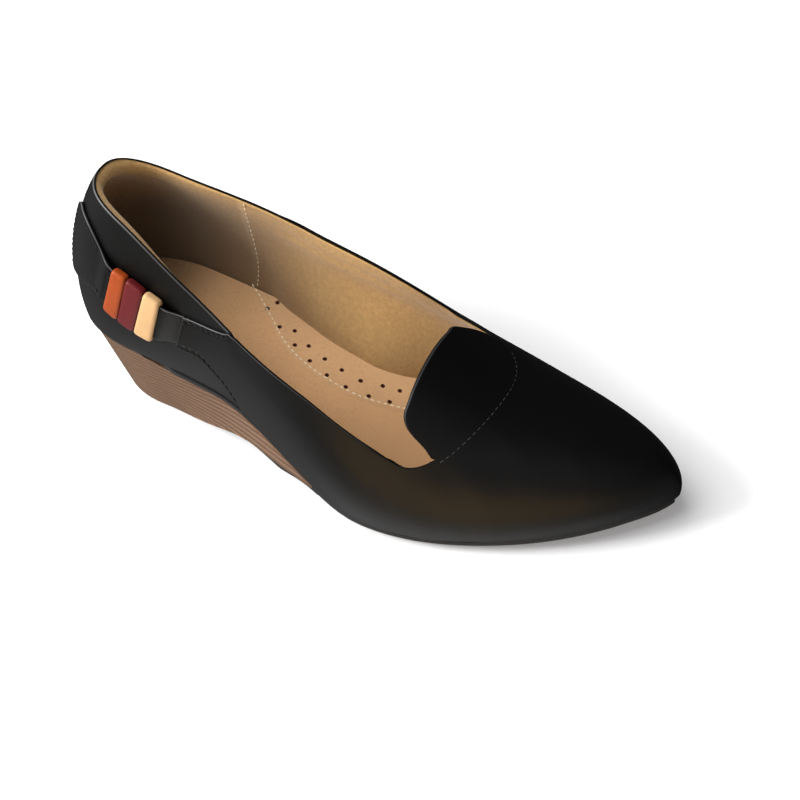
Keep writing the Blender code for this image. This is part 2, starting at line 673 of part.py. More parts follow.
make_upper()
make_vamp()
make_side_strap()
make_loops()
make_throat_tab()
make_plate("insole", "tan", INSOLE_INSET, GAP, GAP + INSOLE)
make_plate("welt", "rubber", SOLE_INSET, -GAP - WELT, -GAP)
make_wedge()
make_heel_lift()
make_outsole()
centre_stand()
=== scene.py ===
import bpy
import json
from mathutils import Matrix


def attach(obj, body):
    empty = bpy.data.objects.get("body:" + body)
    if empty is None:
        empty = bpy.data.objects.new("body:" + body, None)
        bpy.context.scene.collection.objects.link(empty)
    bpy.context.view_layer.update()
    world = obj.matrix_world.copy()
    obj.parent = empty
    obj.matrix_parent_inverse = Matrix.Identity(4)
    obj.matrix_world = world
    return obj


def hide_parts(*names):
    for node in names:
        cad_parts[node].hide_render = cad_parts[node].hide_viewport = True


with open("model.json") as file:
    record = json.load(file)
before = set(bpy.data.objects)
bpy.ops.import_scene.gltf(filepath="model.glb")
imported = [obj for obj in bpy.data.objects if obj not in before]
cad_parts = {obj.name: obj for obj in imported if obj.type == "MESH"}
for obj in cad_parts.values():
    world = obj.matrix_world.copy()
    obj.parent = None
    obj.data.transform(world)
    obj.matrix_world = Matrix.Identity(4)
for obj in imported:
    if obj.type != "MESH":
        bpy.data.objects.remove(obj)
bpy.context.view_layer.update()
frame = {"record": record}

import json
import math

import bpy
import numpy as np
from bpy.props import FloatProperty, FloatVectorProperty, PointerProperty
from mathutils import Matrix, Vector

bl_info = {
    "name": "Pointed Toe Wedge Pump",
    "version": (1, 0, 0),
    "blender": (4, 5, 0),
    "location": "3D View > Sidebar > Pump",
    "description": "Dresses the packed frame of a right-foot wedge pump",
    "category": "Add Mesh",
}

MM = 0.001
OUTER, INNER = -1, 1

# The shoe's own millimetre frame starts at the back of the heel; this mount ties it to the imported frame
HEEL_REST = np.array((30.5, 0.0, 0.0))
STAND = np.array(frame["record"]["mounts"][0]["pos_m"]) / MM - HEEL_REST

# The last, as in the part's source
LENGTH = 245.0
HEEL_CENTRE = 40.0
HEEL_POWER = 2.3
TOE_CENTRE = 216.0
TOE_POWER, TOE_ROOT = 1.67, 1.49
TOE_SWING = 13.8
SWING_START = 130.0
HALF_WIDTH = {
    OUTER: {"heel": 26.5, "waist_x": 71.0, "waist": 26.4, "ball_x": 145.0, "ball": 43.9},
    INNER: {"heel": 25.0, "waist_x": 92.0, "waist": 26.0, "ball_x": 168.0, "ball": 38.4},
}
FEATHER = {"x": (0, 40, 100, 160, 200, 246), "z": (36.5, 34.2, 22.2, 6.5, 7.3, 11.0)}
RIDGE = {"x": (40, 90, 130, 155, 180, 216), "z": (113, 118, 85.5, 65.2, 48.6, 36.0)}
SECTION = {
    "x": (0, 100, 165, 225),
    "bulge": (2.3, 4.9, 5.3, 3.4),
    "shoulder": (0.38, 0.42, 0.54, 0.56),
    "crown": (0.55, 0.75, 0.61, 0.61),
}
RIDGE_SLOPE_START, SLOPE_STEP = 180.0, 0.5
AXIS_SOFTNESS = 5.0
TOPLINE_X = (0, 40, 90, 130)
TOPLINE = {
    OUTER: {"z": (101.5, 94.0, 67.7, 55.5), "corner_x": 159.7, "corner_z": 39.2},
    INNER: {"z": (101.5, 90.0, 76.1, 61.1), "corner_x": 150.5, "corner_z": 48.5},
}
THROAT_X = 183.3
TUCK = 7.0
GAP = 0.3

# The vamp's wing, the flag and strap behind it, the loops and the throat tab
WING = {"x": (61.8, 66.8, 72.8, 77.6, 82.3, 86.9, 90, 100), "z": (49.0, 48.3, 46.0, 41.7, 37.1, 30.2, 23, 10)}
WING_TOP = {"x": (68.3, 76, 83, 90, 94), "z": (65.4, 65, 65.4, 67.3, 70)}
WING_END = 100.0
VAMP_SEAM_X, VAMP_SEAM_LEAN = 78.0, -6.0
FLAG_TOP = {
    "x": (2.5, 6, 12, 25, 33, 39, 45.2, 53.2, 60.2, 67.4),
    "z": (87.6, 90.6, 90.2, 85.2, 79, 75.5, 73.4, 70.3, 67.7, 65.4),
}
FLAG_BOTTOM = {
    "x": (2.5, 12, 25, 31, 37.2, 44.2, 52.2, 61),
    "z": (59, 60.5, 61.2, 59.5, 56.1, 53.1, 51.1, 50.2),
}
FLAG_START, STRAP_END = 2.5, 64.0
FLAG_FRONT = {"x": 29.4, "z": 61.5, "lean": 0.38}
STRAP_LEAN, LEAN_START, LEAN_FULL = 7.0, 14.0, 31.0
STRAP_LIFT = 1.5
LIFT_START, LIFT_FULL, LIFT_LAST, LIFT_END = 24.0, 30.0, 54.0, 60.0
LOOP_TOP = {"x": (38.5, 45.2, 53.2, 60.2), "z": (77.3, 75.3, 72.2, 69.6)}
LOOP_BOTTOM = {"x": (31.0, 37.2, 44.2, 52.2), "z": (57.5, 54.2, 51.2, 49.2)}
TAB = {
    "angle": (0, 8, 14, 22, 30, 38, 50, 90, 130, 145, 155, 165, 172, 180),
    "x": (171.5, 168.9, 166.6, 163.9, 161.2, 159.6, 159.3, 158.8, 158.3, 158, 160, 162.4, 164.6, 169),
    "w": (-31.6, -30.55, -30.05, -29.6, -28.6, -26.6, -22, -7, 9, 13.6, 17.4, 21.6, 24, 25.3),
}
TAB_FAN, TAB_SINK = 0.62, 0.03

# Sole, wedge and heel lift
INSOLE, WELT = 2.0, 1.5
INSOLE_INSET = {"heel": 2.2, "toe": 2.2}
SOLE_INSET = {"heel": 0.7, "toe": 0.9}
HEEL_BASE_HALF, HEEL_BASE_BACK = 21.5, 11.8
LIFT, LIFT_FRONT, LIFT_INSET, LIFT_TAPER, LIFT_LEAST = 2.2, 48.0, 2.0, 0.4, 2.0
WEDGE_ARCH, WEDGE_ARCH_X, WEDGE_END = 12.0, 92.0, 124.0
RIM_WIDTH, RIM_CLEAR = 1.5, 2.6
WAIST_PLATE, PLATE_INSET, PLATE_END = 2.0, 3.0, 104.0
SOLE_EDGE, SOLE_BEVEL, BEVEL_SHARE = 1.2, 5.5, 0.2
TREAD_START, TREAD_END, TOE_SPRING, SPRING_POWER = 142.0, 196.0, 6.2, 1.8
LIFT_GROOVES = 11
TREAD_MIDDLE, TREAD_REACH = 172.0, 46.0
WELD_REACH, STITCH_SPAN = 0.002, 0.3

# The perforated inset on the inner half of the insole, and its pinholes
INSET_LINE = {
    "x": (52, 60.1, 71.9, 85.3, 96.6, 108.4, 118.6, 130, 138, 150, 163),
    "y": (25.0, 21.5, 13.9, 4.9, 0.9, -0.6, -0.2, 3.0, 6.3, 14.0, 27.0),
}
PINHOLES = (
    (69.7, 17.3), (71.6, 21.7), (78.4, 12.2), (84.2, 13.8), (87.9, 7.9), (92.5, 10.5),
    (96.6, 4.5), (100.8, 8.6), (105.4, 2.4), (108.7, 7.8), (113.9, 1.9), (116.9, 7.8),
    (122.8, 3.6), (124.6, 10.9), (130.3, 6.1), (130.8, 12.9), (137.5, 9.5), (137.8, 16.0),
)
# Soft folds in the vamp: middle x and y, half length, half width, turn in degrees, rise
FOLDS = (
    (172.0, -37.0, 15.0, 2.6, -10.0, 0.16), (178.0, -31.0, 14.0, 2.6, -16.0, -0.17),
    (185.0, -27.0, 13.0, 2.8, -20.0, 0.15), (190.0, -19.0, 12.0, 3.0, -28.0, -0.14),
    (199.0, -14.0, 11.0, 3.4, -24.0, 0.12), (160.0, -41.0, 16.0, 2.6, -6.0, -0.15),
    (207.0, 2.0, 10.0, 4.0, 30.0, -0.12), (216.0, -6.0, 9.0, 3.6, -35.0, 0.10),
    (196.0, 12.0, 12.0, 3.6, 18.0, 0.12), (226.0, 10.0, 8.0, 3.4, 50.0, -0.08),
)
# How far the lining's foot comes in over the insole along the inner side
COVE = {
    "x": (60, 67, 77, 89, 100, 109, 118, 127, 134, 160, 190),
    "y": (0, 0.2, 3.0, 5.4, 7.6, 9.2, 10.8, 10.5, 9, 5, 0),
}
COVE_HEIGHT = 34.0
LINING_SEAM = {"v": (0.02, 0.162, 0.265, 0.37, 0.454, 0.6), "x": (59.6, 62.9, 63.7, 64.3, 65.6, 67.0)}

# Details of the pieces; a fade is where along x something starts and where it is complete
SLACK = 0.05
FOOT_SHARE, LINING_FOOT = 0.0015, 0.012
END_STEPS, END_ROUND = 6, 0.5
EDGE_COVER, COVER_END = {OUTER: (90.0, 94.0), INNER: (84.0, 92.0)}, 6.0
# In QUARTER and VAMP, the depth, loss, fade and end keys of the edge line set where the painted highlight
# along the cut edges shows and how it fades
QUARTER = {
    "low_round": 0.3, "high_round": 1.0, "covered_drop": 0.9,
    "thin": 0.15, "covered_thin": 0.45, "thin_depth": 6.0,
    "highlight_depth": 2.0, "highlight_loss": 0.5, "highlight_fade": (20.0, 70.0),
}
COLLAR = {
    "fade": (30.0, 78.0), "inner_fade": (0.0, 30.0), "inner_loss": 0.7, "pad_depth": 9.0,
    "drop": 0.8, "padded_rise": 0.3, "covered_drop": 0.4,
    "round": 0.5, "padded_round": 0.75, "inner_round": 1.5,
    "plump": 1.6, "plump_fade": (1.0, 15.0), "plump_depth": 1.6, "plump_width": 1.3,
}
# Ripples: height, depth below the top line and width
LINING = {
    "low_round": 0.3, "lap": 0.35, "lap_soft": 0.6, "skive": 0.6, "skive_depth": 5.0,
    "crease": (70.0, 86.0, 122.0, 140.0), "ripples": ((0.35, 6.5, 1.5), (-0.25, 10.0, 2.2)),
}
VAMP = {
    "low_round": 0.45, "high_round": 0.5, "first_share": 0.0145,
    "seam_drop": 0.012, "seam_fade": (72.0, 92.0),
    "turned_width": 2.5, "turned_tuck": 0.55, "fold_clear": 6.0,
    "highlight_loss": 0.75, "highlight_fade": (86.0, 96.0), "highlight_end": (148.0, 156.0), "end_highlight": 0.35,
}
TROUGH = {"depth": 0.3, "width": 0.6, "low": 1.9, "high": 1.8, "high_end": 92.0, "fade": (90.0, 102.0)}
WING_LIFT, WING_LIFT_FADE = 0.6, (64.0, 73.0)
SKIVE = {
    "lead": 6.0, "run": 26.0, "depth": 14.0, "top": 0.35, "wing": 0.45, "wing_fade": (88.0, 96.0),
    "throat": 0.12, "seam": 0.06, "seam_run": 20.0,
}
# The tab's line strength is that of the painted highlight along its cut edges
TAB_ROWS, TAB_FIELD, TAB_ROUND, TAB_HIGHLIGHT, TAB_LINING = 34, 0.972, 0.026, 0.3, 0.985
STRAP_PLACES, STRAP_ROUND, STRAP_THIN, STRAP_THIN_FADE = 130, 0.5, 0.5, (58.0, 62.0)
FLAG_STEP, FLAG_SOFT = 0.3, 0.7
LOOP = {
    "half": 0.485, "least": 0.3, "power": 6, "corner": 1.5, "slot_corner": 0.1,
    "slot_inset": 1.2, "strap_room": 1.0, "corner_spare": 0.01, "corner_points": 7,
}
INSOLE_FIELD, CURL, CURL_POWER = (43, 214), 1.2, 6
INSET = {
    "rows": 26, "edge": 0.2, "least": 0.02, "ends": 4,
    "proud": 0.05, "rise": 0.5, "slope": 1.2, "sunk": 0.6,
}
PIN_DEPTH, PIN_RISE, PIN_FLOOR, PIN_REACH, PIN_STEEP = 4.0, 0.5, 1.0, 0.51, 0.5
WELT_DEPTH, WELT_PROUD = 5.0, 1.5
WELT_FADE, WELT_PROUD_FADES = (38.0, 56.0), (42.0, 58.0, 112.0, 130.0)
RIM_SPARE, RIM_FADE = 0.12, (36.0, 54.0)
LAYERS, RIB_HALF, RIB_CLEAR, LOW_RIB_GAIN = range(-1, 17), 0.8, 1.6, 1.6
LAYER_STEPS = (0.0, 0.07, 0.14, 0.23, 0.35, 0.5, 0.65, 0.77, 0.86, 0.93)
SEAT_STEPS = (0, 0.03, 0.06, 0.1, 0.3, 0.5, 0.7, 0.9, 0.94, 0.97, 1)
WALL_LEAST, WALL_MOST = 0.05, 1.15
SOLE_WAIST_END, SOLE_FIELD_START, SOLE_FIELD_END = 122.0, 123.0, 220.0
TREAD = {
    "power": 2.6, "ring": 0.9, "ring_near": 0.2, "ring_half": 0.06, "ring_depth": 0.5,
    "inside": 0.78, "inside_soft": 0.08, "pitch": 6.4, "groove_half": 0.11, "depth": 0.85,
    "wave": 1.3, "wave_turn": 0.55, "fine": 0.12, "fine_turn": 4.6, "sunk": 0.05,
}
LIFT_MARGIN, LIFT_RIM, LIFT_GROOVE, LIFT_GROOVE_HALF = 3, 1.5, 0.9, 0.3
STITCH_LEAD, FLAG_INSET, PANEL_INSET, THROAT_INSET, THROAT_WIDER = 1.5, 2.0, 1.4, 1.4, 1.3
WING_ROW_END, CREST_ROW_END, FLAG_ROW_ENDS = 87.0, 91.0, (28.0, 30.0)
PANEL_ROW, FLAG_ROW_MARGIN, THROAT_ROW_START = (0.1, 0.92), 0.03, {OUTER: 0.62, INNER: 0.8}
INSET_ROW, INSET_ROW_IN, INSET_ROW_RISE = (56.0, 150.0), 1.6, 0.5
SEAM_ROW, SEAM_ROW_AHEAD, SEAM_ROW_RISE = (0.04, 0.455), 1.0, 0.42

# Where painted shade darkens lining and insole: deep in the heel, under the instep and at the insole's back
# end
HEEL_PAINTED_SHADE = {"X": (30.0, 125.0), "Z": (66.0, 93.0)}
LINING_SHADE, INSOLE_SHADE, INSOLE_BACK = (105.0, 165.0), (100.0, 160.0), (52.0, 22.0)

# The photograph's camera, in the shoe's millimetre frame
CAMERA_AT = (402.866, -351.222, 477.120)
CAMERA_RIGHT = (0.85740, 0.50308, -0.10850)
CAMERA_UP = (-0.29956, 0.65928, 0.68965)
CAMERA_BACK = (0.41848, -0.55880, 0.71597)
CAMERA_LENS, CAMERA_SENSOR = 76.126, 36.0
# The studio's surroundings: directions of two cards, and the directions over which the colours change
WARM_CARD, COOL_CARD, CARD_EDGE = (0.28, -0.951, -0.13), (0.38, -0.62, 0.69), (0.81, 0.96)
FAR_WALL_EDGE, CEILING_EDGE = (-0.3, 0.5), (-0.05, 0.4)
BELOW_EDGE, BELOW_FRONT = (-0.64, -0.80), (-0.15, -0.40)
STUDIO_STRENGTH, FLOOR_GLOW, VIEW_GAMMA = 3.0, 0.22, 0.9


def thickness(name, about, millimetres):
    size = millimetres * MM
    return FloatProperty(name=name, description=about, default=size, unit="LENGTH", subtype="DISTANCE")


def tint(name, about, colour):
    limits = {"min": 0.0, "max": 1.0}
    return FloatVectorProperty(name=name, description=about, default=colour, subtype="COLOR", **limits)


class PumpSizes(bpy.types.PropertyGroup):
    """Sizes of the pump's layers and trim."""
    leather: thickness("Leather", "Thickness of the quarter leather", 1.0)
    lining: thickness("Lining", "Thickness of the lining", 0.7)
    collar: thickness("Collar pad", "Extra thickness of the padded collar at the heel", 3.4)
    overlay: thickness("Overlay", "Thickness of vamp, tab and strap", 1.0)
    loop_band: thickness("Loop band", "Thickness of the loops around the strap", 1.3)
    stitch: thickness("Stitch", "Length of one stitch", 1.7)
    stitch_pitch: thickness("Stitch pitch", "Distance from stitch to stitch", 2.5)
    pinhole: thickness("Pinhole", "Width of a hole in the insole's inset", 1.75)
    layer: thickness("Wedge layer", "Height of one layer of the wedge", 2.3)
    groove: thickness("Wedge groove", "Depth of the groove between two layers", 0.55)
    floor: FloatProperty(name="Floor", description="Width of the floor", default=12.0, unit="LENGTH")


class PumpColours(bpy.types.PropertyGroup):
    """Colours of the pump's finishes."""
    leather: tint("Leather", "Smooth leather of the upper", (0.0020, 0.0020, 0.0021))
    # The edge colour is a painted highlight: a lighter colour along the rounded cut edges that stands in for
    # their glint
    edge: tint("Edge", "Burnished cut edges of the leather", (0.13, 0.13, 0.132))
    lining: tint("Lining", "Napped lining", (0.53, 0.340, 0.144))
    # Painted shade: the lining's colour deep in the heel and under the instep
    painted_shade: tint("Worn lining", "Lining deep in the heel", (0.13, 0.084, 0.044))
    insole: tint("Insole", "Insole cover", (0.64, 0.405, 0.218))
    inset: tint("Inset", "Perforated inset of the insole", (0.63, 0.408, 0.227))
    # Painted shade: the dark colour on the pinholes' walls and floors
    pinhole: tint("Pinhole", "Inside of the pinholes", (0.30, 0.10, 0.05))
    orange: tint("Orange loop", "First loop", (0.28, 0.055, 0.010))
    burgundy: tint("Burgundy loop", "Second loop", (0.11, 0.012, 0.014))
    cream: tint("Cream loop", "Third loop", (0.50, 0.325, 0.168))
    stack: tint("Wedge", "Wide bands of the stacked wedge", (0.088, 0.054, 0.034))
    stack_line: tint("Wedge lines", "Thin lines between the bands", (0.20, 0.108, 0.058))
    rubber: tint("Rubber", "Welt, outsole and heel lift", (0.014, 0.014, 0.015))
    dark_thread: tint("Dark thread", "Thread on the outside of the upper", (0.012, 0.012, 0.013))
    grey_thread: tint("Grey thread", "Thread along the throat", (0.055, 0.055, 0.057))
    pale_thread: tint("Pale thread", "Thread on lining and insole", (0.90, 0.80, 0.62))
    floor: tint("Floor", "Studio floor", (0.70, 0.70, 0.70))
    wall: tint("Wall", "Studio on the shoe's outer side, as the gloss shows it", (0.19, 0.19, 0.19))
    far_wall: tint("Far wall", "Studio on the shoe's inner side", (0.018, 0.018, 0.018))
    warm_card: tint("Warm card", "Warm reflector low in front", (1.0, 0.71, 0.39))
    cool_card: tint("Cool card", "Reflector over the camera", (0.23, 0.23, 0.243))
    below: tint("Below", "White sweep under the shoe, as the gloss shows it", (0.75, 0.75, 0.75))
    ceiling: tint("Ceiling", "Dark studio above", (0.037, 0.037, 0.039))


def smooth(u):
    """A soft step from 0 to 1."""
    u = np.clip(u, 0.0, 1.0)
    return u * u * (3.0 - 2.0 * u)


def ramp(x, start, end):
    """A soft step from 0 at start to 1 at end."""
    return smooth((x - start) / (end - start))


def rise_and_fall(x, start, full, hold, end):
    return ramp(x, start, full) * (1 - ramp(x, hold, end))


def hump(x, middle, width):
    """A soft hump of height 1."""
    return np.exp(-((x - middle) / width) ** 2)


def quarter_turn(count):
    return np.linspace(0, math.pi / 2, count)


def heel_round(u):
    """Width of the rounded heel as a share, from 1 at its middle to 0 at its back."""
    return np.maximum(1 - u ** HEEL_POWER, 0) ** (1 / HEEL_POWER)


def through(x, table, key="z", along="x"):
    """A smooth curve through a short table, level beyond its ends."""
    xs, ys = np.asarray(table[along], float), np.asarray(table[key], float)
    x = np.clip(x, xs[0], xs[-1])
    slope = np.gradient(ys, xs)
    i = np.clip(np.searchsorted(xs, x) - 1, 0, len(xs) - 2)
    step = xs[i + 1] - xs[i]
    t = (x - xs[i]) / step
    rise = ys[i] + (ys[i + 1] - ys[i]) * t * t * (3 - 2 * t)
    return rise + step * (slope[i] * t * (1 - t) ** 2 - slope[i + 1] * t * t * (1 - t))


def centre(x):
    """The foot's middle line in plan, which swings inward at the toe."""
    u = np.clip((np.asarray(x, float) - SWING_START) / (LENGTH - SWING_START), 0, 1)
    return TOE_SWING * u ** 2


def half_width(side, x):
    """Width of the feather line from the middle line."""
    size = HALF_WIDTH[side]
    x = np.asarray(x, float)
    u = np.clip((HEEL_CENTRE - x) / HEEL_CENTRE, 0, 1)
    heel = size["heel"] * heel_round(u)
    waist = size["heel"] + (size["waist"] - size["heel"]) * ramp(x, HEEL_CENTRE, size["waist_x"])
    to_ball = ramp(x, size["waist_x"], size["ball_x"])
    ball = size["waist"] + (size["ball"] - size["waist"]) * to_ball
    t = np.clip((x - size["ball_x"]) / (LENGTH - size["ball_x"]), 0, 1)
    toe = size["ball"] * np.maximum(1 - t ** TOE_POWER, 0) ** (1 / TOE_ROOT)
    back = np.where(x < HEEL_CENTRE, heel, waist)
    return np.where(x < size["waist_x"], back, np.where(x < size["ball_x"], ball, toe))


def feather(x):
    """Height of the line where upper and sole meet."""
    return through(x, FEATHER)


def axis(x):
    """The middle line's station that a section at x leans to; heel and toe fan around one point each."""
    soft = AXIS_SOFTNESS
    x = x - soft * np.logaddexp(0, (x - TOE_CENTRE) / soft)
    return x + soft * np.logaddexp(0, (HEEL_CENTRE - x) / soft)


def last(side, x, v):
    """Points of the last at station x and share v of the section, with the plan distance to the ridge."""
    x, v = np.broadcast_arrays(np.asarray(x, float), np.asarray(v, float))
    foot = np.stack([x, centre(x) + side * half_width(side, x), feather(x)], -1)
    ax = axis(x)
    run = np.stack([ax - foot[..., 0], centre(ax) - foot[..., 1]], -1)
    reach = np.hypot(run[..., 0], run[..., 1])
    height = through(ax, RIDGE) - foot[..., 2]
    at = np.minimum(ax, TOE_CENTRE - SLOPE_STEP)
    slope = (through(at + SLOPE_STEP, RIDGE) - through(at - SLOPE_STEP, RIDGE)) / (2 * SLOPE_STEP)
    slope = np.where(x > RIDGE_SLOPE_START, slope * (x - ax), 0.0)
    bulge, shoulder, crown = (through(x, SECTION, key) for key in ("bulge", "shoulder", "crown"))
    b1, b2, b3 = 3 * (1 - v) ** 2 * v, 3 * (1 - v) * v ** 2, v ** 3
    inward = -b1 * bulge + b2 * reach * (1 - crown) + b3 * reach
    rise = b1 * shoulder * height + b2 * (height + slope * crown) + b3 * height
    plan = foot[..., :2] + run / reach[..., None] * inward[..., None]
    return np.concatenate([plan, (foot[..., 2] + rise)[..., None]], -1), reach - inward


def share_at(side, x, target, by_height):
    """Share of the section at a height, or at a plan distance from the ridge."""
    x = np.asarray(x, float)
    low, high = np.full(x.shape, 0.001), np.ones(x.shape)
    for _ in range(30):
        mid = (low + high) / 2
        points, left = last(side, x, mid)
        below = points[..., 2] < target if by_height else left > target
        low, high = np.where(below, mid, low), np.where(below, high, mid)
    return (low + high) / 2


def throat_half(side):
    """Plan width of the throat at its corner."""
    corner = np.array([TOPLINE[side]["corner_x"]])
    at = share_at(side, corner, np.array([TOPLINE[side]["corner_z"]]), True)
    return last(side, corner, at)[1][0]


def top_share(side, x, throat_x, wider=0.0):
    """Share of the section at the top line, round the throat and, ahead of it, at the ridge."""
    line = TOPLINE[side]
    corner = line["corner_x"]
    x = np.asarray(x, float)
    table = {"x": TOPLINE_X + (corner,), "z": line["z"] + (line["corner_z"],)}
    behind = share_at(side, np.minimum(x, corner), through(np.minimum(x, corner), table), True)
    u = np.clip((x - corner) / (throat_x - corner), 0, 1)
    ahead = share_at(side, x, (throat_half(side) + wider) * np.sqrt(1 - u ** 2), False)
    return np.where(x <= corner, behind, np.where(x < throat_x, ahead, 1.0))


def facing(side, x, v):
    """The face's outward direction at a point of the last."""
    dx, dv = 0.05, 0.002
    x = np.clip(x, 0.3, LENGTH - 0.15)
    v = np.clip(v, dv, 1 - dv)
    along = last(side, x + dx, v)[0] - last(side, x - dx, v)[0]
    up = last(side, x, v + dv)[0] - last(side, x, v - dv)[0]
    normal = np.cross(along, up) * -side
    return normal / np.linalg.norm(normal, axis=-1, keepdims=True)


def skin(side, x, v, offset):
    """A point off the last, along its face."""
    x, v, offset = np.broadcast_arrays(np.asarray(x, float), np.asarray(v, float), np.asarray(offset, float))
    return last(side, x, v)[0] + facing(side, x, v) * offset[..., None]


def foot_stations(throat_x, start=0.0):
    """Section places along the foot, closer at heel, throat and toe."""
    turn = quarter_turn(44)
    behind = min(line["corner_x"] for line in TOPLINE.values())
    places = np.concatenate([
        HEEL_CENTRE * (1 - np.cos(turn)),
        np.linspace(HEEL_CENTRE, behind, 84),
        [line["corner_x"] for line in TOPLINE.values()],
        behind + (throat_x - behind) * np.sin(turn),
        np.linspace(throat_x, TOE_CENTRE, 24),
        TOE_CENTRE + (LENGTH - TOE_CENTRE) * np.sin(turn),
    ])
    places = np.unique(np.round(places, 3))
    places = places[np.diff(places, prepend=-1.0) > 0.04]
    places[-1] = LENGTH
    return places[places >= start]


def spread(length, middle, low, high):
    """Distances up each column, closer where the sheet's edges round over, and how full it is there."""
    turn = quarter_turn(7)[:-1]
    bend, fill = 1 - np.cos(turn), np.sin(turn)
    length = np.asarray(length)[:, None]
    low, high = np.minimum(low, 0.4 * length), np.minimum(high, 0.4 * length)
    field = low + (length - low - high) * np.linspace(0, 1, middle)
    away = np.concatenate([low * bend, field, length - high * bend[::-1]], axis=1)
    return away, np.concatenate([fill, np.ones(middle), fill[::-1]])


def edge_highlight(full):
    """Where a painted highlight goes: where a sheet rounds over into its cut edge, by how full it is there.
    """
    return np.where(full < 1.0, smooth((full - 0.6) / 0.25), 0.0)


class Columns:
    """A sheet's columns on one side of the last; its low and high edges are pairs of x and share."""

    def __init__(self, side, low, high, middle, low_round, high_round, drop=0.0):
        def between(share):
            return [(a[:, None] + (b - a)[:, None] * share) for a, b in zip(low, high)]

        share = np.linspace(0, 1, 41)
        x, v = between(share)
        step = np.linalg.norm(np.diff(last(side, x, v)[0], axis=1), axis=-1)
        run = np.concatenate([np.zeros((len(x), 1)), np.cumsum(step, axis=1)], axis=1)
        length = run[:, -1] - drop
        away, full = spread(length, middle, low_round, high_round)
        at = np.stack([np.interp(a, r, share) for a, r in zip(away, run)])
        self.side = side
        self.x, self.v = between(at)
        self.inset = length[:, None] - away
        self.away = away
        self.full = np.repeat(full[None, :], len(x), axis=0)
        whole = high[1] >= 1.0
        self.full[whole, -len(full) // 2:] = 1.0
        self.whole = int(whole.sum())
        # self.line is where the painted highlight goes, along the sheet's rounded edges
        self.line = edge_highlight(self.full)

    def faces(self, under, over, ends=1.0):
        """The points of the sheet's hidden face and of its outer face."""
        back = skin(self.side, self.x, self.v, under)
        fill = self.full * np.reshape(ends, (-1, 1))
        front = skin(self.side, self.x, self.v, under + (over - under) * fill)
        return front, back


def around(outer, inner, whole, closed_heel):
    """One strip from the heel's outer side round the toe to the inner side."""
    outer, inner = outer.copy(), inner.copy()
    if closed_heel:
        outer[0] = inner[0] = (outer[0] + inner[0]) / 2
    outer[-1] = inner[-1] = (outer[-1] + inner[-1]) / 2
    middle = (outer[-whole:, -1] + inner[-whole:, -1]) / 2
    outer[-whole:, -1] = inner[-whole:, -1] = middle
    return np.concatenate([outer, inner[::-1]])


def end_steps(start):
    """Places just inside a rounded end, and how full the sheet is there."""
    turn = quarter_turn(END_STEPS + 1)[:-1]
    return start + END_ROUND * (1 - np.cos(turn)), np.sin(turn)


def choose(piece):
    """Make one piece the only selected and active one."""
    bpy.ops.object.select_all(action="DESELECT")
    piece.select_set(True)
    bpy.context.view_layer.objects.active = piece


def added(operator, **keys):
    """The object that an add operator makes, as the only selected one."""
    bpy.ops.object.select_all(action="DESELECT")
    operator(**keys)
    return bpy.context.active_object


def laid_grid(name, points, line=None):
    """A grid primitive with each of its points moved to a place given in the shoe's millimetres."""
    columns, rows = points.shape[:2]
    cells = {"x_subdivisions": columns - 1, "y_subdivisions": rows - 1}
    piece = added(bpy.ops.mesh.primitive_grid_add, size=1.0, **cells)
    piece.name = piece.data.name = name
    flat = np.empty(len(piece.data.vertices) * 3)
    piece.data.vertices.foreach_get("co", flat)
    flat = flat.reshape(-1, 3) + 0.5
    i = np.rint(flat[:, 0] * (columns - 1)).astype(int)
    j = np.rint(flat[:, 1] * (rows - 1)).astype(int)
    piece.data.vertices.foreach_set("co", ((points[i, j] + STAND) * MM).ravel())
    # The edge attribute carries the painted highlight along the cut edges
    if line is not None:
        piece.data.attributes.new("edge", "FLOAT", "POINT").data.foreach_set("value", line[i, j])
    piece.data.update()
    return piece


def joined(pieces):
    """Several objects made one, under the first one's name."""
    choose(pieces[0])
    for piece in pieces[1:]:
        piece.select_set(True)
    bpy.ops.object.join()
    return pieces[0]


def weld(piece):
    """Merge points that lie together, drop empty faces and turn all faces out."""
    choose(piece)
    bpy.ops.object.mode_set(mode="EDIT")
    bpy.ops.mesh.select_all(action="SELECT")
    bpy.ops.mesh.remove_doubles(threshold=WELD_REACH * MM)
    bpy.ops.mesh.dissolve_degenerate(threshold=WELD_REACH * MM / 2)
    bpy.ops.mesh.select_all(action="SELECT")
    bpy.ops.mesh.normals_make_consistent(inside=False)
    bpy.ops.object.mode_set(mode="OBJECT")


def shell(name, *sheets, line=None):
    """A closed piece from sheets that meet along their edges; line marks the first one's cut edge for its
    painted highlight.
    """
    lines = [line] + [None if line is None else 0 * line] * (len(sheets) - 1)
    piece = joined([laid_grid(name, points, marked) for points, marked in zip(sheets, lines)])
    weld(piece)
    return piece


def finish_piece(piece, material, slot, *nodes, angle=50):
    """Shade a piece, give it its material and tie it to the frame."""
    choose(piece)
    bpy.ops.object.shade_smooth_by_angle(angle=math.radians(angle))
    piece.data.materials.clear()
    piece.data.materials.append(material)
    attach(piece, "root")
    if nodes:
        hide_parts(*nodes)
    return piece


class Socket:
    """A shader value that takes part in plain arithmetic; each operation adds its Math node."""

    def __init__(self, finish, link):
        self.finish, self.link = finish, link

    def _math(self, operation, first, second):
        return self.finish.node("ShaderNodeMath", {"operation": operation}, {0: first, 1: second})

    def __add__(self, other):
        return self._math("ADD", self, other)

    def __sub__(self, other):
        return self._math("SUBTRACT", self, other)

    def __rsub__(self, other):
        return self._math("SUBTRACT", other, self)

    def __mul__(self, other):
        return self._math("MULTIPLY", self, other)

    def __truediv__(self, other):
        return self._math("DIVIDE", self, other)

    __radd__, __rmul__ = __add__, __mul__


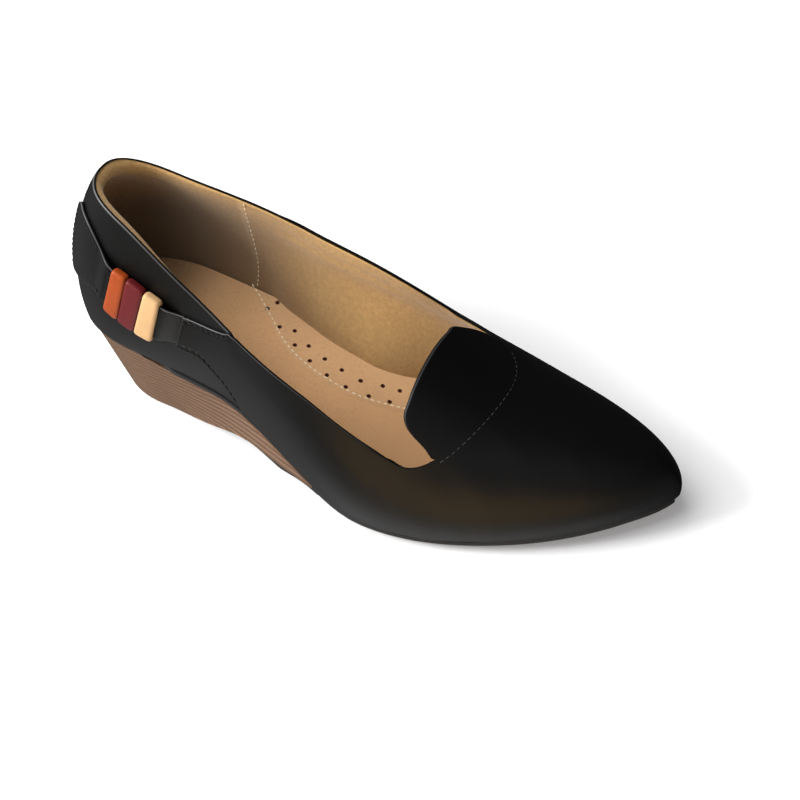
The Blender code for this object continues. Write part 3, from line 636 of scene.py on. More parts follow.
class Nodes:
    """The nodes of a material or of the studio's surroundings, around one shader."""

    def __init__(self, tree, shader):
        self.tree, self.shader = tree, tree.nodes[shader]

    def feed(self, target, value):
        if isinstance(value, Socket):
            self.tree.links.new(value.link, target)
        elif isinstance(value, (float, int, str)):
            target.default_value = value
        else:
            size = len(target.default_value)
            target.default_value = (tuple(value) + (1.0,))[:size]

    def node(self, kind, settings=None, sockets=None, out=0):
        """Any node: its settings first, then the values or links of its sockets."""
        made = self.tree.nodes.new(kind)
        for key, value in (settings or {}).items():
            setattr(made, key, value)
        for key, value in (sockets or {}).items():
            self.feed(made.inputs[key], value)
        return Socket(self, made.outputs[out])

    def set(self, name, value):
        self.feed(self.shader.inputs[name], value)

    def ease(self, value, low, high):
        """A soft step from 0 at low to 1 at high."""
        sockets = {"Value": value, "From Min": low, "From Max": high}
        return self.node("ShaderNodeMapRange", {"interpolation_type": "SMOOTHSTEP"}, sockets)

    def mix(self, factor, first, second):
        return self.node("ShaderNodeMix", {"data_type": "RGBA"}, {0: factor, 6: first, 7: second}, out=2)

    def varied(self, factor, colour, dark, light):
        """A colour that goes from darker to lighter."""
        return self.mix(factor, shade(colour, dark), shade(colour, light))


class Finish(Nodes):
    """A material around one Principled shader."""

    def __init__(self, name, constants):
        self.material = bpy.data.materials.new(name)
        self.material.use_nodes = True
        super().__init__(self.material.node_tree, "Principled BSDF")
        for key, value in constants.items():
            self.set(key, value)

    def place(self):
        return self.node("ShaderNodeTexCoord", out="Object")

    def axis(self, which):
        """One of the shoe's own coordinates, in millimetres."""
        metres = self.node("ShaderNodeSeparateXYZ", None, {0: self.place()}, out=which)
        return metres * (1 / MM) - float(STAND["XYZ".index(which)])

    def noise(self, scale, detail, where=None, roughness=0.5):
        sockets = {"Vector": where or self.place(), "Scale": scale, "Detail": detail, "Roughness": roughness}
        return self.node("ShaderNodeTexNoise", None, sockets)

    def cells(self, scale):
        sockets = {"Vector": self.place(), "Scale": scale}
        return self.node("ShaderNodeTexVoronoi", {"feature": "SMOOTH_F1"}, sockets)

    def bump(self, height, distance, strength):
        sockets = {"Strength": strength, "Distance": distance * MM, "Height": height}
        self.set("Normal", self.node("ShaderNodeBump", None, sockets))


def shade(colour, amount):
    """A colour made darker or lighter."""
    return tuple(min(1.0, part * amount) for part in colour)


def leather_finish(name, colours):
    """Smooth satin leather with a fine grain, and a painted highlight in a lighter colour along the rounded
    cut edges.
    """
    made = Finish(name, {"Specular IOR Level": 0.25})
    grain = made.cells(1500.0)
    fine = made.noise(2600.0, 3.0)
    broad = made.noise(38.0, 3.0)
    base = made.varied(broad, colours.leather, 0.8, 1.25)
    # Painted highlight: the edge attribute mixes in the lighter edge colour along the rounded cut edges
    edge = made.node("ShaderNodeAttribute", {"attribute_name": "edge"}, out="Fac")
    made.set("Base Color", made.mix(edge * (0.5 + fine * 0.5), base, colours.edge))
    made.set("Roughness", 0.33 + broad * 0.12 + fine * 0.06)
    made.bump(grain * 0.55 + fine * 0.45 + made.noise(170.0, 3.0) * 3.0, 0.035, 0.55)
    return made.material


def napped_finish(name, colour, painted_shade=None):
    """Soft napped lining; given a shade colour, it is darkened by painted shade deep in the heel and under
    the instep.
    """
    made = Finish(name, {"Sheen Weight": 0.35, "Sheen Roughness": 0.5, "Specular IOR Level": 0.2})
    nap = made.noise(620.0, 5.0, roughness=0.72)
    cloud = made.noise(60.0, 3.0)
    base = made.varied(cloud, colour, 0.90, 1.06)
    tuft = made.ease(nap, 0.3, 0.7)
    base = made.mix(tuft, shade(colour, 0.78), base)
    # Painted shade: darker deep in the heel and low down, and under the instep toward the tab
    if painted_shade is not None:
        ahead, above = (made.ease(made.axis(k), *HEEL_PAINTED_SHADE[k]) for k in "XZ")
        deep = (1.0 - ahead) * (1.0 - above)
        base = made.mix(deep * 0.8 + made.ease(made.axis("X"), *LINING_SHADE) * 0.3, base, painted_shade)
    made.set("Base Color", base)
    made.set("Roughness", 0.86 + nap * 0.12)
    made.bump(nap, 0.22, 1.0)
    return made.material


def pebbled_finish(name, colour):
    """Smooth insole leather with fine pebbles."""
    made = Finish(name, {"Specular IOR Level": 0.25})
    pebble = made.cells(1250.0)
    fine = made.noise(2400.0, 2.0)
    cloud = made.noise(75.0, 3.0)
    base = made.varied(cloud, colour, 0.94, 1.04)
    # Painted shade: darker under the instep and toward the insole's back end
    painted_shade = made.ease(made.axis("X"), *INSOLE_SHADE) * 0.4 + made.ease(made.axis("X"), *INSOLE_BACK) * 0.9
    base = made.mix(painted_shade, base, shade(colour, 0.45))
    made.set("Base Color", made.mix(made.ease(pebble, 0.3, 0.9) * 0.6, base, shade(colour, 0.78)))
    made.set("Roughness", 0.62 + fine * 0.16)
    made.bump(fine * 0.4 - pebble * 0.7, 0.095, 0.85)
    return made.material


def soft_finish(name, colour):
    """Soft coloured leather."""
    made = Finish(name, {"Specular IOR Level": 0.22})
    grain = made.cells(1200.0)
    cloud = made.noise(180.0, 3.0)
    made.set("Base Color", made.varied(cloud, colour, 0.86, 1.1))
    made.set("Roughness", 0.36 + cloud * 0.14)
    made.bump(grain, 0.04, 0.5)
    return made.material


def stacked_finish(name, colours, layer):
    """Stacked layers: wide brown bands with fine streaks and a thin light line at each joint."""
    made = Finish(name, {"Specular IOR Level": 0.35})
    height = (made.axis("Z") - LIFT) / layer
    joint = made.node("ShaderNodeMath", {"operation": "PINGPONG"}, {0: height, 1: 0.5}) * 2.0
    streak = made.node("ShaderNodeMapping", None, {"Vector": made.place(), "Scale": (1.0, 1.0, 9.0)})
    fibre = made.noise(160.0, 4.0, streak)
    cloud = made.noise(35.0, 2.0)
    band = made.varied(fibre, colours.stack, 0.72, 1.3)
    band = made.mix(cloud * 0.5, band, shade(colours.stack_line, 0.75))
    line = 1.0 - made.ease(joint, 0.06, 0.42)
    made.set("Base Color", made.mix(line * (0.55 + fibre * 0.7), band, colours.stack_line))
    made.set("Roughness", 0.45 + fibre * 0.2)
    made.bump(fibre, 0.05, 0.4)
    return made.material


def rubber_finish(name, colour):
    """Moulded matte rubber."""
    made = Finish(name, {"Specular IOR Level": 0.4})
    fine = made.noise(1800.0, 3.0)
    cloud = made.noise(70.0, 2.0)
    made.set("Base Color", made.varied(cloud, colour, 0.8, 1.3))
    made.set("Roughness", 0.58 + fine * 0.15)
    made.bump(fine, 0.015, 0.4)
    return made.material


def thread_finish(name, colour):
    """Twisted thread."""
    made = Finish(name, {"Specular IOR Level": 0.3})
    twist = made.noise(1900.0, 2.0)
    made.set("Base Color", made.varied(twist, colour, 0.75, 1.2))
    made.set("Roughness", 0.6 + twist * 0.2)
    made.bump(twist, 0.03, 0.5)
    return made.material


def settings(context):
    return context.scene.pump_sizes, context.scene.pump_colours


def edge_cover(side, x):
    """How far the vamp's turned edge takes the place of the quarter's own, along the top line."""
    corner = TOPLINE[side]["corner_x"]
    return rise_and_fall(x, *EDGE_COVER[side], corner - COVER_END, corner)


class PUMP_OT_quarter(bpy.types.Operator):
    """Add the quarter leather and the napped lining"""
    bl_idname = "pump.add_quarter"
    bl_label = "Quarter and lining"

    def execute(self, context):
        sizes, colours = settings(context)
        throat = THROAT_X + TUCK
        x = foot_stations(throat)
        leather = sizes.leather / MM
        quarter, cover, lines = [], [], []
        for side in (OUTER, INNER):
            foot = (x, np.full(x.shape, FOOT_SHARE))
            top = (x, top_share(side, x, throat))
            turned = edge_cover(side, x)
            inward = (side == INNER) * ramp(x, *COLLAR["inner_fade"])
            roll = (1 - ramp(x, *COLLAR["fade"])) * (1 - COLLAR["inner_loss"] * inward)
            rounds = QUARTER["low_round"], QUARTER["high_round"]
            wall = Columns(side, foot, top, 30, *rounds, drop=QUARTER["covered_drop"] * turned)
            quarter.append(wall.faces(-self.rim(leather, turned, roll, wall.inset), 0.0))
            # Painted highlight along the quarter's top edge, fainter toward the front
            highlight_strength = 1 - QUARTER["highlight_loss"] * ramp(x, *QUARTER["highlight_fade"])
            lines.append(wall.line * (wall.inset < QUARTER["highlight_depth"]) * highlight_strength[:, None])
            cover.append(self.lined(side, top, turned, inward, roll, sizes))
            whole = wall.whole
        leather_look = leather_finish("quarter_leather", colours)
        lining_look = napped_finish("lining_nap", colours.lining, colours.painted_shade)
        for name, sides, look in (("quarter", quarter, leather_look), ("lining", cover, lining_look)):
            sheets = [around(sides[0][k], sides[1][k], whole, True) for k in (0, 1)]
            line = around(*lines, whole, True) if name == "quarter" else None
            finish_piece(shell(name, *sheets, line=line), look, "upper_leather", "upper")
        return {"FINISHED"}

    def lined(self, side, top, turned, inward, roll, sizes):
        """The lining's two faces on one side, with the padded collar and the foot over the insole."""
        leather, lining, collar = sizes.leather / MM, sizes.lining / MM, sizes.collar / MM
        x = top[0]
        drop = COLLAR["drop"] - COLLAR["padded_rise"] * roll + COLLAR["covered_drop"] * turned
        drop = np.where(top[1] < 1.0, drop, 0.0)
        soft = (COLLAR["padded_round"] + COLLAR["inner_round"] * inward) * collar * roll
        rounds = LINING["low_round"], (COLLAR["round"] + soft)[:, None]
        inside = Columns(side, (x, np.full(x.shape, LINING_FOOT)), top, 34, *rounds, drop=drop)
        pad = hump(np.maximum(inside.inset - collar, 0.0), 0.0, COLLAR["pad_depth"])
        pad = collar * roll[:, None] * pad
        behind = through(inside.v, LINING_SEAM, "x", "v") - inside.x
        lap = LINING["lap"] * smooth(1 - behind / LINING["lap_soft"]) * (side == INNER)
        under = -self.rim(leather, turned, roll, inside.inset) - SLACK
        skive = LINING["skive"] * (1 - roll)[:, None] * (1 - smooth(inside.inset / LINING["skive_depth"]))
        crease = rise_and_fall(x, *LINING["crease"])[:, None] * (side == INNER)
        ripple = sum(high * hump(inside.inset, deep, wide) for high, deep, wide in LINING["ripples"])
        sheets = inside.faces(under, under - lining * (1 - skive) - lap - pad + crease * ripple)
        plump = COLLAR["plump"] * roll * ramp(x, *COLLAR["plump_fade"])
        plump = plump[:, None] * hump(inside.inset, COLLAR["plump_depth"], COLLAR["plump_width"])
        for sheet in sheets:
            if side == INNER:
                above = sheet[..., 2] - feather(inside.x) - GAP - INSOLE
                sheet[..., 1] -= through(inside.x, COVE, "y") * (1 - smooth(above / COVE_HEIGHT))
            sheet[..., 2] += plump
        return sheets

    def rim(self, leather, turned, roll, inset):
        """The quarter's thickness: thin along the top line, most where the vamp folds over it."""
        thin = QUARTER["thin"] * roll + QUARTER["covered_thin"] * turned
        return leather * (1 - thin[:, None] * (1 - smooth(inset / QUARTER["thin_depth"])))


class PUMP_OT_vamp(bpy.types.Operator):
    """Add the vamp with its wing on the outer side"""
    bl_idname = "pump.add_vamp"
    bl_label = "Vamp"

    def execute(self, context):
        sizes, colours = settings(context)
        ahead = foot_stations(THROAT_X, WING_END + 0.5)
        sides, lines = [], []
        for side in (OUTER, INNER):
            starts = VAMP_SEAM_X, VAMP_SEAM_X + VAMP_SEAM_LEAN
            if side == OUTER:
                starts = WING["x"][0], WING_TOP["x"][0]
            rounded, fill = end_steps(0.0)
            field = np.linspace(VAMP["first_share"], 1, 46)
            share = np.concatenate([rounded / (WING_END - starts[0]), field])
            low_x, high_x = (np.append(s + (WING_END - s) * share, ahead) for s in starts)
            foot = np.full(low_x.shape, FOOT_SHARE)
            top = top_share(side, high_x, THROAT_X)
            if side == OUTER:
                wing = share_at(side, low_x, through(low_x, WING), True)
                foot = np.maximum(foot, np.where(low_x < WING_END, wing, 0.0))
                crest = share_at(side, high_x, through(high_x, WING_TOP), True)
                top = np.where(high_x < WING_TOP["x"][-1], np.minimum(top, crest), top)
            else:
                top = top - VAMP["seam_drop"] * (1 - ramp(high_x, *VAMP["seam_fade"]))
            rounds = VAMP["low_round"], VAMP["high_round"]
            sheet = Columns(side, (low_x, foot), (high_x, top), 34, *rounds)
            turned = edge_cover(side, high_x)[:, None] * (1 - smooth(sheet.inset / VAMP["turned_width"]))
            over = SLACK + vamp_thickness(side, sheet.x, sheet.v, sheet.inset, sizes.overlay / MM)
            over = over + folded(last(side, sheet.x, sheet.v)[0]) * smooth(sheet.inset / VAMP["fold_clear"])
            if side == OUTER:
                crest = hump(sheet.inset, TROUGH["high"], TROUGH["width"]) * (sheet.x < TROUGH["high_end"])
                seam = hump(sheet.away, TROUGH["low"], TROUGH["width"]) + crest
                over = over - TROUGH["depth"] * seam * (1 - ramp(sheet.x, *TROUGH["fade"]))
            lift = wing_lift(sheet.x) if side == OUTER else 0.0
            ends = np.append(fill, np.ones(len(low_x) - len(fill)))
            sides.append(sheet.faces(SLACK + lift - VAMP["turned_tuck"] * turned, over + lift, ends))
            # Painted highlight along the vamp's rounded edges and its rounded end, on the outer side only
            highlight_strength = 1 - VAMP["highlight_loss"] * ramp(sheet.x, *VAMP["highlight_fade"])
            highlight_strength = highlight_strength * (1 - ramp(sheet.x, *VAMP["highlight_end"])) * (side == OUTER)
            lines.append(np.maximum(sheet.line, VAMP["end_highlight"] * edge_highlight(ends)[:, None]) * highlight_strength)
            whole = sheet.whole
        sheets = [around(sides[0][k], sides[1][k], whole, False) for k in (0, 1)]
        vamp = shell("vamp", *sheets, line=around(*lines, whole, False))
        finish_piece(vamp, leather_finish("vamp_leather", colours), "vamp_leather", "vamp")
        return {"FINISHED"}


def wing_lift(x):
    """How far the wing's end rides up over the end of the strap."""
    return WING_LIFT * (1 - ramp(x, *WING_LIFT_FADE))


def folded(points):
    """Height of the soft folds at points of the vamp."""
    rise = np.zeros(points.shape[:-1])
    for x, y, long, wide, turn, height in FOLDS:
        ahead, beside = math.cos(math.radians(turn)), math.sin(math.radians(turn))
        dx, dy = points[..., 0] - x, points[..., 1] - y
        along, across = dx * ahead + dy * beside, dy * ahead - dx * beside
        rise += height * np.exp(-(along / long) ** 2 - (across / wide) ** 2)
    return rise


def from_throat(side, x, v):
    """Plan distance from the throat's edge, for places beside it or ahead of it."""
    corner = TOPLINE[side]["corner_x"]
    tall, wide = THROAT_X - corner, throat_half(side)
    u, w = np.maximum(x - corner, 0.0) / tall, last(side, x, v)[1] / wide
    around_it = np.maximum(np.hypot(u, w), 0.01)
    return (around_it - 1) * around_it / np.hypot(u / tall, w / wide)


def vamp_thickness(side, x, v, inset, full):
    """The vamp is skived along its top line and throat, and at its seam on the inner side."""
    ahead = smooth((x - TOPLINE[side]["corner_x"] + SKIVE["lead"]) / SKIVE["run"])
    away = inset * (1 - ahead) + np.maximum(from_throat(side, x, v), 0.0) * ahead
    top_line = SKIVE["top"]
    if side == OUTER:
        top_line = top_line + SKIVE["wing"] * (1 - ramp(x, *SKIVE["wing_fade"]))
    thin = top_line * (1 - ahead) + SKIVE["throat"] * ahead
    thick = thin + (1 - thin) * smooth(away / SKIVE["depth"])
    if side == INNER:
        from_seam = smooth((x - VAMP_SEAM_X - VAMP_SEAM_LEAN) / SKIVE["seam_run"])
        thick = thick * (SKIVE["seam"] + (1 - SKIVE["seam"]) * from_seam)
    return full * thick


def tab_places(rows):
    """Stations and widths over the throat tab, from under the vamp to its free edge."""
    angles = np.linspace(0, 180, 91)
    throat = THROAT_X + TUCK
    back_x, back_w = (through(angles, TAB, key, "angle") for key in ("x", "w"))
    front_x, front_w = [], []
    for degrees in angles:
        side = OUTER if degrees < 90 else INNER
        corner = TOPLINE[side]["corner_x"]
        half = throat_half(side) - 2 * GAP
        reach = math.radians(abs(90 - degrees) * TAB_FAN)
        front_x.append(corner + (throat - 2 * GAP - corner) * math.cos(reach))
        front_w.append(side * half * math.sin(reach))
    x = np.array(front_x)[:, None] * (1 - rows) + back_x[:, None] * rows
    w = np.array(front_w)[:, None] * (1 - rows) + back_w[:, None] * rows
    return x, w


def over_ridge(x, w, offset):
    """Points off the last at a plan width that may lie on either side of the ridge."""
    offset = np.broadcast_to(offset, x.shape)
    points = np.empty(x.shape + (3,))
    for side in (OUTER, INNER):
        here = (w < 0) if side == OUTER else (w >= 0)
        v = share_at(side, x[here], np.abs(w[here]), False)
        v = np.where(np.abs(w[here]) < 0.05, 1.0, v)
        points[here] = skin(side, x[here], v, offset[here])
    return points


class PUMP_OT_tab(bpy.types.Operator):
    """Add the throat tab with its lining"""
    bl_idname = "pump.add_tab"
    bl_label = "Throat tab"

    def execute(self, context):
        sizes, colours = settings(context)
        overlay, lining = sizes.overlay / MM, sizes.lining / MM
        turn = quarter_turn(7)[:-1][::-1]
        rows = np.concatenate([np.linspace(0, TAB_FIELD, TAB_ROWS), 1 - TAB_ROUND * (1 - np.cos(turn))])
        full = np.concatenate([np.ones(TAB_ROWS), np.sin(turn)])
        full[0] = 0.0
        x, w = tab_places(rows)
        fill = np.repeat(full[None, :], len(x), axis=0)
        fill[[0, -1]] = 0.0
        under = -TAB_SINK - overlay
        top = over_ridge(x, w, under + overlay * fill)
        bottom = over_ridge(x, w, under)
        # Painted highlight along the tab's rounded edges
        tab = shell("throat_tab", top, bottom, line=TAB_HIGHLIGHT * edge_highlight(fill))
        finish_piece(tab, leather_finish("tab_leather", colours), "tab_leather", "throat_tab")
        x, w = tab_places(rows * TAB_LINING)
        under -= TAB_SINK
        backing = shell("tab_lining", over_ridge(x, w, under - lining * fill), over_ridge(x, w, under))
        finish_piece(backing, napped_finish("tab_nap", colours.lining), "tab_leather")
        return {"FINISHED"}


def strap_offset(x):
    """Height of the strap's underside off the upper: it rises to pass through the loops."""
    raised = rise_and_fall(x, LIFT_START, LIFT_FULL, LIFT_LAST, LIFT_END)
    return SLACK + (STRAP_LIFT + GAP - SLACK) * raised


def strap_edges(x):
    """The strap's low and high edges, each as x and share, for places along its low edge."""
    lean = STRAP_LEAN * ramp(x, LEAN_START, LEAN_FULL)
    low = share_at(OUTER, x, through(x, FLAG_BOTTOM), True)
    high = share_at(OUTER, x + lean, through(x + lean, FLAG_TOP), True)
    return (x, low), (x + lean, high)


class PUMP_OT_strap(bpy.types.Operator):
    """Add the flag on the heel with the strap that runs on from it"""
    bl_idname = "pump.add_strap"
    bl_label = "Side strap"

    def execute(self, context):
        sizes, colours = settings(context)
        rounded, fill = end_steps(FLAG_START)
        x = np.append(rounded, np.linspace(FLAG_START + END_ROUND, STRAP_END, STRAP_PLACES))
        ends = np.append(fill, np.ones(STRAP_PLACES))
        ends[-1] = 0.0
        low, high = strap_edges(x)
        sheet = Columns(OUTER, low, high, 26, STRAP_ROUND, STRAP_ROUND)
        under = strap_offset(x)[:, None]
        above = last(OUTER, sheet.x, sheet.v)[0][..., 2] - FLAG_FRONT["z"]
        flag_end = FLAG_FRONT["x"] + FLAG_FRONT["lean"] * above
        flag = FLAG_STEP * (1 - smooth((sheet.x - flag_end) / FLAG_SOFT))
        thin = 1 - STRAP_THIN * ramp(x, *STRAP_THIN_FADE)
        over = under + flag + sizes.overlay / MM * thin[:, None]
        # Painted highlight along the strap's edges and its rounded end
        line = np.maximum(sheet.line, edge_highlight(ends)[:, None])
        strap = shell("side_strap", *sheet.faces(under, over, ends), line=line)
        finish_piece(strap, leather_finish("strap_leather", colours), "strap_leather", "side_strap")
        return {"FINISHED"}


def loop_ring(along, band, corner):
    """A ring round the strap in a slanted section: along places it, band is its thickness off the slot."""
    top = [np.interp(along, range(4), LOOP_TOP[k]) for k in ("x", "z")]
    bottom = [np.interp(along, range(4), LOOP_BOTTOM[k]) for k in ("x", "z")]
    tall = math.dist(top, bottom)
    near, far = STRAP_LIFT - band, STRAP_LIFT + LOOP["strap_room"] + 2 * GAP + band
    low, high = LOOP["slot_inset"] - band, tall - LOOP["slot_inset"] + band
    corner = min(corner, (far - near) / 2 - LOOP["corner_spare"])
    ring = []
    for turn, (across, off) in enumerate(((low, near), (high, near), (high, far), (low, far))):
        inner_across = across + math.copysign(corner, tall / 2 - across)
        inner_off = off + math.copysign(corner, (near + far) / 2 - off)
        for swing in np.linspace(-0.25, 0.25, LOOP["corner_points"]):
            angle = math.pi * (1.25 + 0.5 * turn + swing)
            ring.append((inner_across + math.cos(angle) * corner, inner_off + math.sin(angle) * corner))
    ring.append(ring[0])
    share, off = np.array(ring).T
    x = bottom[0] + (top[0] - bottom[0]) * share / tall
    z = bottom[1] + (top[1] - bottom[1]) * share / tall
    return skin(OUTER, x, share_at(OUTER, x, z, True), off)


class PUMP_OT_loops(bpy.types.Operator):
    """Add the three soft loops around the strap"""
    bl_idname = "pump.add_loops"
    bl_label = "Loops"

    def execute(self, context):
        sizes, colours = settings(context)
        band = sizes.loop_band / MM
        for k, name in enumerate(("orange", "burgundy", "cream")):
            across = np.sin(np.linspace(-math.pi / 2, math.pi / 2, 19))
            places = k + 0.5 + LOOP["half"] * across
            round_over = np.sqrt(np.maximum(1 - across ** LOOP["power"], 0))
            swell = LOOP["least"] + (band - LOOP["least"]) * round_over
            rings = [loop_ring(a, s, LOOP["corner"]) for a, s in zip(places, swell)]
            rings += [loop_ring(a, 0.0, LOOP["slot_corner"]) for a in places[::-1]]
            rings.append(rings[0])
            loop = shell("loop_" + name, np.array(rings))
            material = soft_finish(name + "_soft", getattr(colours, name))
            finish_piece(loop, material, name + "_loop", "loop_" + name)
        return {"FINISHED"}


def inset_edge(side, x, inset):
    """The feather line moved in or out in plan, by one depth at the heel and another at the toe."""
    heel, toe = inset["heel"], inset["toe"]
    whole = np.clip((x - heel) * LENGTH / (LENGTH - heel - toe), 0.0, LENGTH)
    depth = heel + (toe - heel) * smooth(whole / LENGTH)
    size = half_width(side, whole)
    broad = HALF_WIDTH[side]["heel"] / 2
    shrink = depth / np.maximum(size, broad) * np.minimum(size / broad, 1)
    return centre(whole) + side * size * (1 - shrink)


def insole_edges(x):
    return inset_edge(OUTER, x, INSOLE_INSET), inset_edge(INNER, x, INSOLE_INSET)


def insole_height(x, y):
    """Height of the insole's face: it curls up a little along both sides."""
    outer, inner = insole_edges(x)
    share = (y - outer) / (inner - outer)
    return feather(x) + GAP + INSOLE + CURL * np.abs(2 * share - 1) ** CURL_POWER


class PUMP_OT_insole(bpy.types.Operator):
    """Add the insole with its perforated inset"""
    bl_idname = "pump.add_insole"
    bl_label = "Insole"

    def execute(self, context):
        sizes, colours = settings(context)
        turn = np.sin(quarter_turn(30))
        start, end = INSOLE_INSET["heel"], LENGTH - INSOLE_INSET["toe"]
        behind, ahead = INSOLE_FIELD
        toe = ahead + (end - ahead) * turn[1:]
        xs = np.concatenate([start + HEEL_CENTRE * (1 - turn[::-1]), np.linspace(behind, ahead, 120), toe])
        share = np.linspace(0, 1, 41)
        low, high = insole_edges(xs)
        y = low[:, None] + (high - low)[:, None] * share
        x = np.repeat(xs[:, None], len(share), axis=1)
        curl = CURL * np.abs(2 * share - 1) ** CURL_POWER
        insole = slab("insole", x, y, feather(x) + GAP + INSOLE + curl, feather(x) + GAP)

        xs = np.linspace(INSET_LINE["x"][0] + 1, INSET_LINE["x"][-1] - 1, 120)
        line, edge = through(xs, INSET_LINE, "y"), insole_edges(xs)[1] - INSET["edge"]
        wide = np.maximum(edge - line, INSET["least"])
        y = line[:, None] + wide[:, None] * np.linspace(0, 1, INSET["rows"])
        x = np.repeat(xs[:, None], INSET["rows"], axis=1)
        z = insole_height(x, y)
        ends = smooth((xs - xs[0]) / INSET["ends"]) * smooth((xs[-1] - xs) / INSET["ends"])
        proud = INSET["rise"] * smooth((y - line[:, None]) / INSET["slope"]) * ends[:, None]
        pad = slab("insole_inset", x, y, z + (INSET["proud"] + proud), z - INSET["sunk"])
        covers = (
            (insole, pebbled_finish("insole_cover", colours.insole), ("insole",)),
            (pad, pebbled_finish("inset_cover", colours.inset), ()),
        )
        # Painted shade in the pinholes: a dark finish for their walls and floors
        hole_shade_finish = napped_finish("pinhole_dark", colours.pinhole)
        for piece, cover, nodes in covers:
            self.punch(piece, sizes.pinhole)
            finish_piece(piece, cover, "insole_tan", *nodes)
            self.paint_hole_shade(piece, sizes.pinhole, hole_shade_finish)
        return {"FINISHED"}

    def punch(self, piece, width):
        """Cut the pinholes: through the inset and into the insole below."""
        pins = []
        for x, y in PINHOLES:
            place = (np.array((x, y, feather(x) + GAP + INSOLE + PIN_RISE)) + STAND) * MM
            size = {"vertices": 18, "radius": width / 2, "depth": PIN_DEPTH * MM}
            pins.append(added(bpy.ops.mesh.primitive_cylinder_add, location=place, **size))
            bpy.ops.object.transform_apply(location=True, rotation=True, scale=True)
        cutter = joined(pins)
        choose(piece)
        bpy.ops.object.modifier_add(type="BOOLEAN")
        cut = piece.modifiers[-1]
        cut.operation, cut.object, cut.solver = "DIFFERENCE", cutter, "EXACT"
        bpy.ops.object.modifier_apply(modifier=cut.name)
        bpy.data.objects.remove(cutter)

    def paint_hole_shade(self, piece, width, material):
        """Paint shade into the pinholes: their walls and floors get a dark material."""
        piece.data.materials.append(material)
        holes = np.array(PINHOLES) + STAND[:2]
        for face in piece.data.polygons:
            reach = np.hypot(*(holes - np.array(face.center[:2]) / MM).T).min() * MM
            top = feather(face.center[0] / MM - STAND[0]) + GAP + INSOLE
            floor = face.center[2] / MM < top - PIN_FLOOR and face.normal[2] > PIN_STEEP
            if reach < width * PIN_REACH and (abs(face.normal[2]) < PIN_STEEP or floor):
                face.material_index = 1


def slab(name, x, y, high, low):
    """A thin closed slab between two heights over a grid of places."""
    face, base = np.stack([x, y, high], -1), np.stack([x, y, low], -1)
    rim = [np.stack([face[:, k], base[:, k]], 1) for k in (0, -1)]
    ends = [np.stack([face[k], base[k]], 0) for k in (0, -1)]
    return shell(name, face, base, *rim, *ends)


class PUMP_OT_welt(bpy.types.Operator):
    """Add the black welt line between upper and sole"""
    bl_idname = "pump.add_welt"
    bl_label = "Welt"

    def execute(self, context):
        colours = settings(context)[1]
        start, end = SOLE_INSET["heel"], LENGTH - SOLE_INSET["toe"]
        x = start + foot_stations(THROAT_X) * (end - start) / LENGTH
        turn = np.linspace(math.pi / 2, -math.pi / 2, 9)
        depth = np.concatenate([[WELT_DEPTH], WELT / 2 * (1 - np.cos(turn)), [WELT_DEPTH]])
        rise = np.concatenate([[WELT / 2], WELT / 2 * np.sin(turn), [-WELT / 2]])
        sides = []
        for side in (OUTER, INNER):
            edge = np.stack([x, inset_edge(side, x, SOLE_INSET), feather(x) - GAP - WELT / 2], -1)
            heart = np.stack([axis(x), centre(axis(x)), edge[:, 2]], -1)
            inward = heart - edge
            inward /= np.linalg.norm(inward, axis=-1, keepdims=True)
            hidden = RIM_CLEAR * (1 - ramp(x, *WELT_FADE)) - WELT_PROUD * rise_and_fall(x, *WELT_PROUD_FADES)
            ring = edge[:, None] + inward[:, None] * (depth + hidden[:, None])[..., None]
            ring[..., 2] += rise
            sides.append(ring)
        outer, inner = sides
        for k in (0, -1):
            outer[k] = inner[k] = (outer[k] + inner[k]) / 2
        strip = np.concatenate([outer, inner[::-1]])
        strip = np.concatenate([strip, strip[:, :1]], axis=1)
        finish_piece(shell("welt", strip), rubber_finish("welt_rubber", colours.rubber), "welt_black", "welt")
        return {"FINISHED"}


def wedge_bottom(x):
    """The wedge's underside: level on the heel lift, then arched under the waist."""
    heel = LIFT + GAP
    return heel + (WEDGE_ARCH - heel) * ramp(x, LIFT_FRONT, WEDGE_ARCH_X)


def wedge_top(x):
    return feather(x) - 2 * GAP - WELT


def wedge_rim(x):
    """At the heel the wedge's rim stands up round the welt and meets the quarter."""
    return wedge_top(x) + (2 * GAP + WELT - RIM_SPARE) * (1 - ramp(x, *RIM_FADE))


def foot_half(side, x):
    """Width of the wedge at its foot, ahead of the heel."""
    ball = ramp(x, HEEL_CENTRE, SWING_START)
    return HEEL_BASE_HALF + (half_width(side, np.array(SWING_START)) - HEEL_BASE_HALF) * ball


